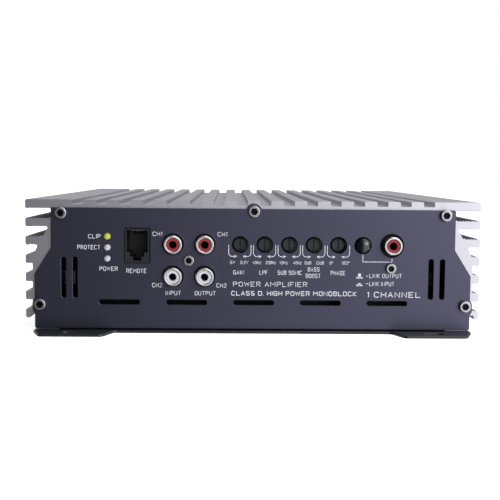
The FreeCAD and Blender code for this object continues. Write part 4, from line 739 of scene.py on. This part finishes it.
@dataclass
class ControlEnd:
    """Jacks, lamps, trim controls, link button and the print around them.

    Attributes:
        controls: The controls, from left to right.
        bracket_half_mm: Half the width of the bracket under a control.
        bracket_drop_mm: The bracket's lower edge below the axis.
        bracket_radius_mm: Radius of its corners.
        bracket_line_mm: Width of its line.
        link_line_mm: Width of the line from the button to its jack.
    """

    wardrobe: Wardrobe
    nodes: dict[str, Piece]
    controls: tuple[str, ...] = ("gain", "lowpass", "subsonic", "bass_boost", "phase")
    bracket_half_mm: float = 5.1
    bracket_drop_mm: float = 5.4
    bracket_radius_mm: float = 1.7
    bracket_line_mm: float = 0.28
    link_line_mm: float = 0.3

    def build(self) -> None:
        """Dresses the nodes and prints the legend."""
        surfaces = {
            "rca_block": Surface.BLACK_ABS,
            "rca_shells": Surface.NICKEL_PLATE,
            "rca_inserts_red": Surface.RED_INSERT,
            "rca_inserts_white": Surface.WHITE_INSERT,
            "link_jack_body": Surface.BLACK_ABS,
            "link_jack_shell": Surface.NICKEL_PLATE,
            "link_jack_insert": Surface.RED_INSERT,
            # contacts deep in the bores: nearly black as painted shade
            "jack_contacts": Surface.BRASS_IN_PAINTED_SHADE,
            "remote_jack_body": Surface.BLACK_ABS,
            "remote_jack_contacts": Surface.TINNED_WIRE,
            "pot_bodies": Surface.GREY_NYLON,
            "link_switch_body": Surface.BLACK_ABS,
            "link_switch_button": Surface.BLACK_ACETAL,
            "clip_led": Surface.LIT_RESIN,
            "protect_led": Surface.CLEAR_RESIN,
            "power_led": Surface.CLEAR_RESIN,
        }
        for word in self.controls:
            surfaces[word + "_shaft"] = Surface.DARK_NYLON
        for name, surface in surfaces.items():
            self.wardrobe.dress(self.nodes[name], surface)
        self.print_legend()

    def print_legend(self) -> None:
        """Prints the words, brackets and link line of the control panel."""
        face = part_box("front_panel")[0].y
        ink = Print(Side.FRONT, face)
        small, usual = 1.45, 2.0
        words = [
            ("CLIP", -72.6, 43.9, 5.6, usual), ("PROTECT", -75.2, 38.9, 10.4, usual),
            ("POWER", -66.2, 29.1, 8.3, usual), ("REMOTE", -53.5, 28.2, 9.2, usual),
            ("CH1", -44.0, 45.2, 4.4, usual), ("CH1", -14.4, 45.2, 4.4, usual),
            ("CH2", -44.1, 21.7, 4.6, usual), ("CH2", -14.7, 21.7, 4.6, usual),
            ("INPUT", -36.7, 18.1, 7.0, usual), ("OUTPUT", -22.1, 18.1, 9.6, usual),
            ("GAIN", -6.9, 27.8, 4.9, usual), ("LPF", 4.5, 27.8, 3.8, usual),
            ("SUB SONIC", 16.5, 27.8, 11.2, usual), ("BASS", 27.5, 29.4, 5.4, usual),
            ("BOOST", 27.3, 26.4, 6.8, usual), ("PHASE", 38.7, 27.8, 6.8, usual),
            ("6V", -9.7, 32.4, 2.2, small), ("0.2V", -4.3, 32.4, 3.6, small),
            ("40Hz", 1.5, 32.4, 3.9, small), ("200Hz", 7.8, 32.4, 4.7, small),
            ("10Hz", 13.7, 32.4, 3.9, small), ("40Hz", 20.0, 32.4, 3.7, small),
            ("0dB", 24.8, 32.4, 3.0, small), ("12dB", 30.3, 32.4, 3.8, small),
            ("0°", 35.5, 32.4, 1.5, small), ("180°", 42.1, 32.4, 3.6, small),
            ("LINK OUTPUT", 60.6, 26.6, 15.0, usual), ("LINK INPUT", 58.9, 22.9, 11.6, usual),
        ]
        for text, x, z, width, height in words:
            ink.word(text, (x, z), (width, height), 0.12)
        ink.word("POWER AMPLIFIER", (7.6, 22.4), (34.0, 2.3), 0.12)
        ink.word("CLASS D. HIGH POWER MONOBLOCK", (18.6, 18.2), (57.6, 2.2), 0.16)
        ink.word("1 CHANNEL", (64.6, 17.9), (24.8, 2.7), 0.15)
        for word in self.controls:
            self.bracket(ink, *centre_mm(word + "_shaft"))
        self.link_line(ink)
        self.button_sign(ink, 25.7, 1.9)
        self.button_sign(ink, 22.2, 1.0)
        ink.finished("control_panel_print", "chassis", self.wardrobe.material(Surface.PRINTING_INK))

    def bracket(self, ink: Print, x: float, z: float) -> None:
        """Prints the two hooked arrows under a control.

        Args:
            ink: The print.
            x: X of the control's axis, in millimetres.
            z: Its height.
        """
        low, radius = z - self.bracket_drop_mm, self.bracket_radius_mm
        top_drop, tail_reach, tip_reach, tip_rise, lean = 0.1, 2.3, 1.3, 0.25, 12
        for side in (-1, 1):
            corner = (x + side * (self.bracket_half_mm - radius), low + radius)
            start, end = (180, 270) if side < 0 else (0, -90)
            top = np.array([[x + side * self.bracket_half_mm, z - top_drop]])
            tail = np.array([[x + side * tail_reach, low]])
            ink.line(np.concatenate([top, arc(corner, radius, start, end), tail]), self.bracket_line_mm)
            toward = 180 - lean if side > 0 else lean
            ink.arrowhead((x + side * tip_reach, low + tip_rise), toward, 1.4)

    def link_line(self, ink: Print) -> None:
        """Prints the line from the link button, down and across, and up to its jack.

        Args:
            ink: The print.
        """
        button = centre_mm("link_switch_button")[0]
        jack, row = centre_mm("link_jack_shell")
        low = row - 7.5
        outline = np.array([[button, row - 4.1], [button, low], [jack, low], [jack, row - 5.9]])
        ink.line(outline, self.link_line_mm)

    def button_sign(self, ink: Print, z: float, rise: float) -> None:
        """Prints the button's sign, a stem on a foot, and a dash after it.

        Args:
            ink: The print.
            z: Height of the foot, in millimetres.
            rise: Length of the stem, which is longer for the button that stands out.
        """
        x, half_foot = 48.6, 1.4
        ink.line(np.array([[x - half_foot, z], [x + half_foot, z]]), 0.7)
        ink.line(np.array([[x, z], [x, z + rise]]), 1.3)
        ink.line(np.array([[x + 3.0, z + 0.8], [x + 3.9, z + 0.8]]), self.link_line_mm)


@dataclass
class TerminalEnd:
    """Wire terminals, fuses and the print around them."""

    wardrobe: Wardrobe
    nodes: dict[str, Piece]

    def build(self) -> None:
        """Dresses the nodes and prints the legend."""
        surfaces = {
            "power_terminal_body": Surface.BLACK_ABS,
            "power_terminal_clamps": Surface.NICKEL_PLATE,
            "speaker_terminal_body": Surface.BLACK_ABS,
            "speaker_terminal_clamps": Surface.NICKEL_PLATE,
            "fuse_holder": Surface.BLACK_ABS,
            "fuse_left": Surface.GREEN_FUSE,
            "fuse_right": Surface.GREEN_FUSE,
        }
        for word in ("ground", "remote", "supply", "speaker_minus", "speaker_plus"):
            surfaces[word + "_set_screw"] = Surface.BLACK_OXIDE
        for name, surface in surfaces.items():
            self.wardrobe.dress(self.nodes[name], surface)
        self.print_legend()

    def print_legend(self) -> None:
        """Prints the words over the terminals and fuses."""
        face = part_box("rear_panel")[1].y
        ink = Print(Side.REAR, face)
        height, stroke, gap = 2.2, 0.17, 3.4
        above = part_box("power_terminal_body")[1].z / MM + gap
        words = [
            ("GND", "ground_set_screw", 5.6), ("REM", "remote_set_screw", 5.6),
            ("+12V", "supply_set_screw", 7.0), ("FUSE", "fuse_holder", 8.0),
            ("SPEAKER", "speaker_terminal_body", 14.0),
        ]
        for text, node, width in words:
            ink.word(text, (centre_mm(node)[0], above), (width, height), stroke)
        low, half, line = 7.0, 2.2, 0.7
        minus, plus = centre_mm("speaker_minus_set_screw")[0], centre_mm("speaker_plus_set_screw")[0]
        for x in (minus, plus):
            ink.line(np.array([[x - half, low], [x + half, low]]), line)
        ink.line(np.array([[plus, low - half], [plus, low + half]]), line)
        ink.finished("terminal_panel_print", "chassis", self.wardrobe.material(Surface.PRINTING_INK))


@dataclass
class Winding:
    """Turns of round wire on a ring core.

    Attributes:
        core: Node of the core.
        sleeve: Node of the winding that these turns stand for.
        turns: How many turns there are.
        wire: Radius of the wire.
        steps: Points of the wire's path in each turn.
        corner: Power of the section's superellipse.
        sides: Points round the wire.
    """

    core: str
    sleeve: str
    turns: int
    wire: float
    steps: int = 20
    corner: float = 4.0
    sides: int = 8

    def build(self, wardrobe: Wardrobe) -> Piece:
        """Winds the wire round the core.

        The section of the core is a superellipse: |u / half width|^corner + |v / half height|^corner = 1,
        met by u = half width * cos(turn)^(2 / corner) and v = half height * sin(turn)^(2 / corner). The wire
        goes round it once a turn while it goes round the ring's axis once in all.

        Args:
            wardrobe: Source of the finish.

        Returns:
            The winding.
        """
        low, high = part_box(self.core)
        outer_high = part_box(self.sleeve)[1]
        centre = (low + high) / 2
        outer_radius = (high.x - low.x) / 2
        gap = outer_high.z - high.z - self.wire
        inner_radius = self.bore(centre)
        middle, half_width = (outer_radius + inner_radius) / 2, (outer_radius - inner_radius) / 2
        half_height = (high.z - low.z) / 2
        count = self.turns * self.steps
        share = np.arange(count) / count
        turn = share * self.turns * 2 * np.pi
        power = 2 / self.corner
        u = np.sign(np.cos(turn)) * np.abs(np.cos(turn)) ** power * (half_width + gap)
        v = np.sign(np.sin(turn)) * np.abs(np.sin(turn)) ** power * (half_height + gap)
        around = share * 2 * np.pi
        radial = np.stack([np.cos(around), np.sin(around), np.zeros(count)], axis=1)
        up = np.array([0.0, 0.0, 1.0])
        path = np.array(centre) + radial * (middle + u)[:, None] + up * v[:, None]
        outward = radial * np.cos(turn)[:, None] + up * np.sin(turn)[:, None]
        shape = swept_tube(path, outward, self.wire, self.sides)
        copper = wardrobe.material(Surface.ENAMELLED_COPPER)
        made = add_piece(self.core.replace("core", "turns"), shape, "chassis", copper, True)
        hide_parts(self.sleeve)
        return made

    def bore(self, centre: Vector) -> float:
        """Radius of the core's bore: its nearest point to the axis."""
        mesh = bpy.data.objects[self.core].data
        flat = np.empty(len(mesh.vertices) * 3, np.float32)
        mesh.vertices.foreach_get("co", flat)
        points = flat.reshape(-1, 3)
        return float(np.hypot(points[:, 0] - centre.x, points[:, 1] - centre.y).min())


@dataclass
class PowerStage:
    """Boards and power parts inside the enclosure."""

    wardrobe: Wardrobe
    nodes: dict[str, Piece]

    def build(self) -> None:
        """Dresses the nodes and winds the ring cores."""
        surfaces = {
            "insulating_sheet": Surface.POLYESTER_FILM,
            "main_board": Surface.SOLDER_MASK,
            "preamp_board": Surface.SOLDER_MASK,
            "driver_board": Surface.SOLDER_MASK,
            "board_standoffs": Surface.BRASS,
            "board_screws": Surface.NICKEL_PLATE,
            "board_header": Surface.BLACK_ABS,
            "transformer_core": Surface.FERRITE,
            "transformer_winding": Surface.ENAMELLED_COPPER,
            "inductor_core": Surface.IRON_POWDER,
            "inductor_winding": Surface.ENAMELLED_COPPER,
            "supply_capacitors": Surface.PVC_SLEEVE,
            "rail_capacitors": Surface.PVC_SLEEVE,
            "filter_capacitors": Surface.RED_CASE,
            "transistors": Surface.BLACK_ABS,
            "thermal_pads": Surface.SILICONE_PAD,
            "clamp_bars": Surface.MILLED_ALUMINIUM,
            "clamp_screws": Surface.BLACK_OXIDE,
        }
        for name, surface in surfaces.items():
            self.wardrobe.dress(self.nodes[name], surface)
        Winding("transformer_core", "transformer_winding", 42, 1.1 * MM).build(self.wardrobe)
        Winding("inductor_core", "inductor_winding", 26, 1.0 * MM).build(self.wardrobe)


# ---------------------------------------------------------------- studio
@dataclass
class Studio:
    """Pale floor, soft lights and the camera.

    Attributes:
        camera_mm: The camera's place.
        yaw: The view's turn towards +X, in radians.
        pitch: The view's tilt below the horizon, in radians.
        roll: The camera's own turn, in radians.
        lens: Focal length on a sensor 36 mm wide.
        shade_end: Direction's X below which the surroundings are darkest.
        bright_end: Direction's X above which they are brightest.
        shade: Strength of the surroundings on the dark side.
        bright: Their strength on the bright side.
        behind: Their strength behind the amplifier, which its top mirrors.
        back_start: Direction's Y above which they start to turn to that strength.
        back_end: Direction's Y above which they have it.
    """

    camera_mm: tuple[float, float, float] = (-11.05, -562.0, 74.36)
    yaw: float = 0.0213
    pitch: float = 0.083
    roll: float = 0.0089
    lens: float = 68.9
    shade_end: float = -0.2
    bright_end: float = 0.4
    shade: float = 0.045
    bright: float = 1.75
    behind: float = 0.42
    back_start: float = -0.1
    back_end: float = 0.33

    def build(self) -> None:
        """Adds the floor, the dome, the world, the lights and the camera."""
        self.floor()
        self.dome()
        self.world()
        self.light("key", (1500, -1700, 900), (60, -100, 30), 1200, 25.0)
        self.light("top", (300, 200, 1400), (0, 0, 0), 900, 4.5)
        self.camera()
        bpy.context.scene.view_settings.view_transform = "Standard"

    def paper(self, name: str, colour: float, glow: float) -> Material:
        """Makes plain white paper that gives some light of its own.

        Args:
            name: The material's name.
            colour: How much light it returns.
            glow: Strength of its own light.

        Returns:
            The material.
        """
        made = bpy.data.materials.new(name)
        made.use_nodes = True
        shader = made.node_tree.nodes["Principled BSDF"]
        shader.inputs["Base Color"].default_value = (colour, colour, colour, 1.0)
        shader.inputs["Roughness"].default_value = 0.9
        shader.inputs["Specular IOR Level"].default_value = 0.0
        shader.inputs["Emission Color"].default_value = (1.0, 1.0, 1.0, 1.0)
        shader.inputs["Emission Strength"].default_value = glow
        return made

    def stage_piece(self, name: str, shape: Shape, material: Material) -> Piece:
        """Adds a piece of the studio that the metal doesn't mirror.

        Args:
            name: The piece's name.
            shape: Its points and faces.
            material: Its paper.

        Returns:
            The piece.
        """
        mesh = bpy.data.meshes.new(name)
        mesh.from_pydata(shape[0].tolist(), [], shape[1].tolist())
        mesh.materials.append(material)
        made = bpy.data.objects.new(name, mesh)
        made.visible_glossy = False
        bpy.context.scene.collection.objects.link(made)
        made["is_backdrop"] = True
        return made

    def floor(self) -> None:
        """Lays a wide pale floor at the height that the amplifier stands on."""
        reach = 6.0
        points = np.array([[-reach, -reach, 0], [reach, -reach, 0], [reach, reach, 0], [-reach, reach, 0]])
        self.stage_piece("floor", (points, np.array([[0, 1, 2, 3]])), self.paper("white_paper", 0.8, 0.8))

    def dome(self) -> None:
        """Closes the studio with a white dome that lights nothing.

        Its points are radius * (cos b cos a, cos b sin a, sin b).
        """
        radius, rows, columns, lowest = 9.0, 9, 24, -0.2
        b = np.linspace(lowest, np.pi / 2, rows)[:, None]
        a = np.linspace(0, 2 * np.pi, columns, endpoint=False)[None, :]
        unit = np.stack([np.cos(b) * np.cos(a), np.cos(b) * np.sin(a), np.sin(b) + 0 * a], axis=2)
        points = unit * radius
        made = self.stage_piece(
            "dome", (points.reshape(-1, 3), grid_faces(rows, columns)), self.paper("dome_paper", 0.0, 1.0)
        )
        made.visible_diffuse = False
        made.visible_transmission = False
        made.visible_shadow = False

    def world(self) -> None:
        """Fills the surroundings with light that grows from the left to the right.

        The strength is a smooth step of the direction's X, from the shade's to the bright side's. Behind
        the amplifier it turns, by a smooth step of the direction's Y, to an even one.
        """
        world = bpy.data.worlds.new("studio")
        world.use_nodes = True
        tree = world.node_tree
        way = add_node(tree, "ShaderNodeTexCoord", {}, {}).outputs["Generated"]
        parts = add_node(tree, "ShaderNodeSeparateXYZ", {}, {"Vector": way})
        ramp = add_node(
            tree, "ShaderNodeMapRange",
            {"interpolation_type": "SMOOTHSTEP", "From Min": self.shade_end, "From Max": self.bright_end,
             "To Min": self.shade, "To Max": self.bright},
            {"Value": parts.outputs["X"]},
        )
        back = add_node(
            tree, "ShaderNodeMapRange",
            {"interpolation_type": "SMOOTHSTEP", "From Min": self.back_start, "From Max": self.back_end},
            {"Value": parts.outputs["Y"]},
        )
        strength = add_node(
            tree, "ShaderNodeMix", {3: self.behind},
            {"Factor": back.outputs["Result"], 2: ramp.outputs["Result"]},
        )
        sky = tree.nodes["Background"]
        sky.inputs["Color"].default_value = (1.0, 1.0, 1.0, 1.0)
        tree.links.new(strength.outputs[0], sky.inputs["Strength"])
        bpy.context.scene.world = world

    def light(
        self, name: str, place_mm: tuple[float, float, float], aim_mm: tuple[float, float, float],
        size_mm: float, power: float,
    ) -> None:
        """Adds a square soft light.

        Args:
            name: The light's name.
            place_mm: Where it stands.
            aim_mm: What it faces.
            size_mm: Length of its side.
            power: Its power in watts.
        """
        data = bpy.data.lights.new(name, "AREA")
        data.size = size_mm * MM
        data.energy = power
        lamp = bpy.data.objects.new(name, data)
        lamp.location = Vector(place_mm) * MM
        way = Vector(aim_mm) - Vector(place_mm)
        lamp.rotation_euler = way.to_track_quat("-Z", "Y").to_euler()
        bpy.context.scene.collection.objects.link(lamp)

    def camera(self) -> None:
        """Adds the camera, turned by yaw, pitch and roll."""
        data = bpy.data.cameras.new("camera")
        data.lens = self.lens
        data.sensor_width = 36.0
        data.clip_start, data.clip_end = 0.01, 100.0
        cam = bpy.data.objects.new("camera", data)
        level = math.cos(self.pitch)
        forward = Vector((math.sin(self.yaw) * level, math.cos(self.yaw) * level, -math.sin(self.pitch)))
        aim = forward.to_track_quat("-Z", "Y").to_matrix().to_4x4()
        place = Matrix.Translation(Vector(self.camera_mm) * MM)
        cam.matrix_world = place @ aim @ Matrix.Rotation(self.roll, 4, "Z")
        bpy.context.scene.collection.objects.link(cam)
        bpy.context.scene.camera = cam


def corners() -> list[list[float]]:
    """Lowest and highest corner of everything that shows, as plain lists."""
    return [list(corner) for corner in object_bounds()]


def main() -> None:
    """Loads the frame and builds every sub-assembly and the studio."""
    logging.basicConfig(level=logging.INFO, format="%(name)s: %(message)s")
    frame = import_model()
    nodes = frame["nodes"]
    wardrobe = Wardrobe()
    for part in (
        Enclosure(wardrobe, nodes), ControlEnd(wardrobe, nodes), TerminalEnd(wardrobe, nodes),
        PowerStage(wardrobe, nodes), Studio(),
    ):
        part.build()
        LOG.info("built %s", type(part).__name__)


if __name__ == "__main__":
    main()
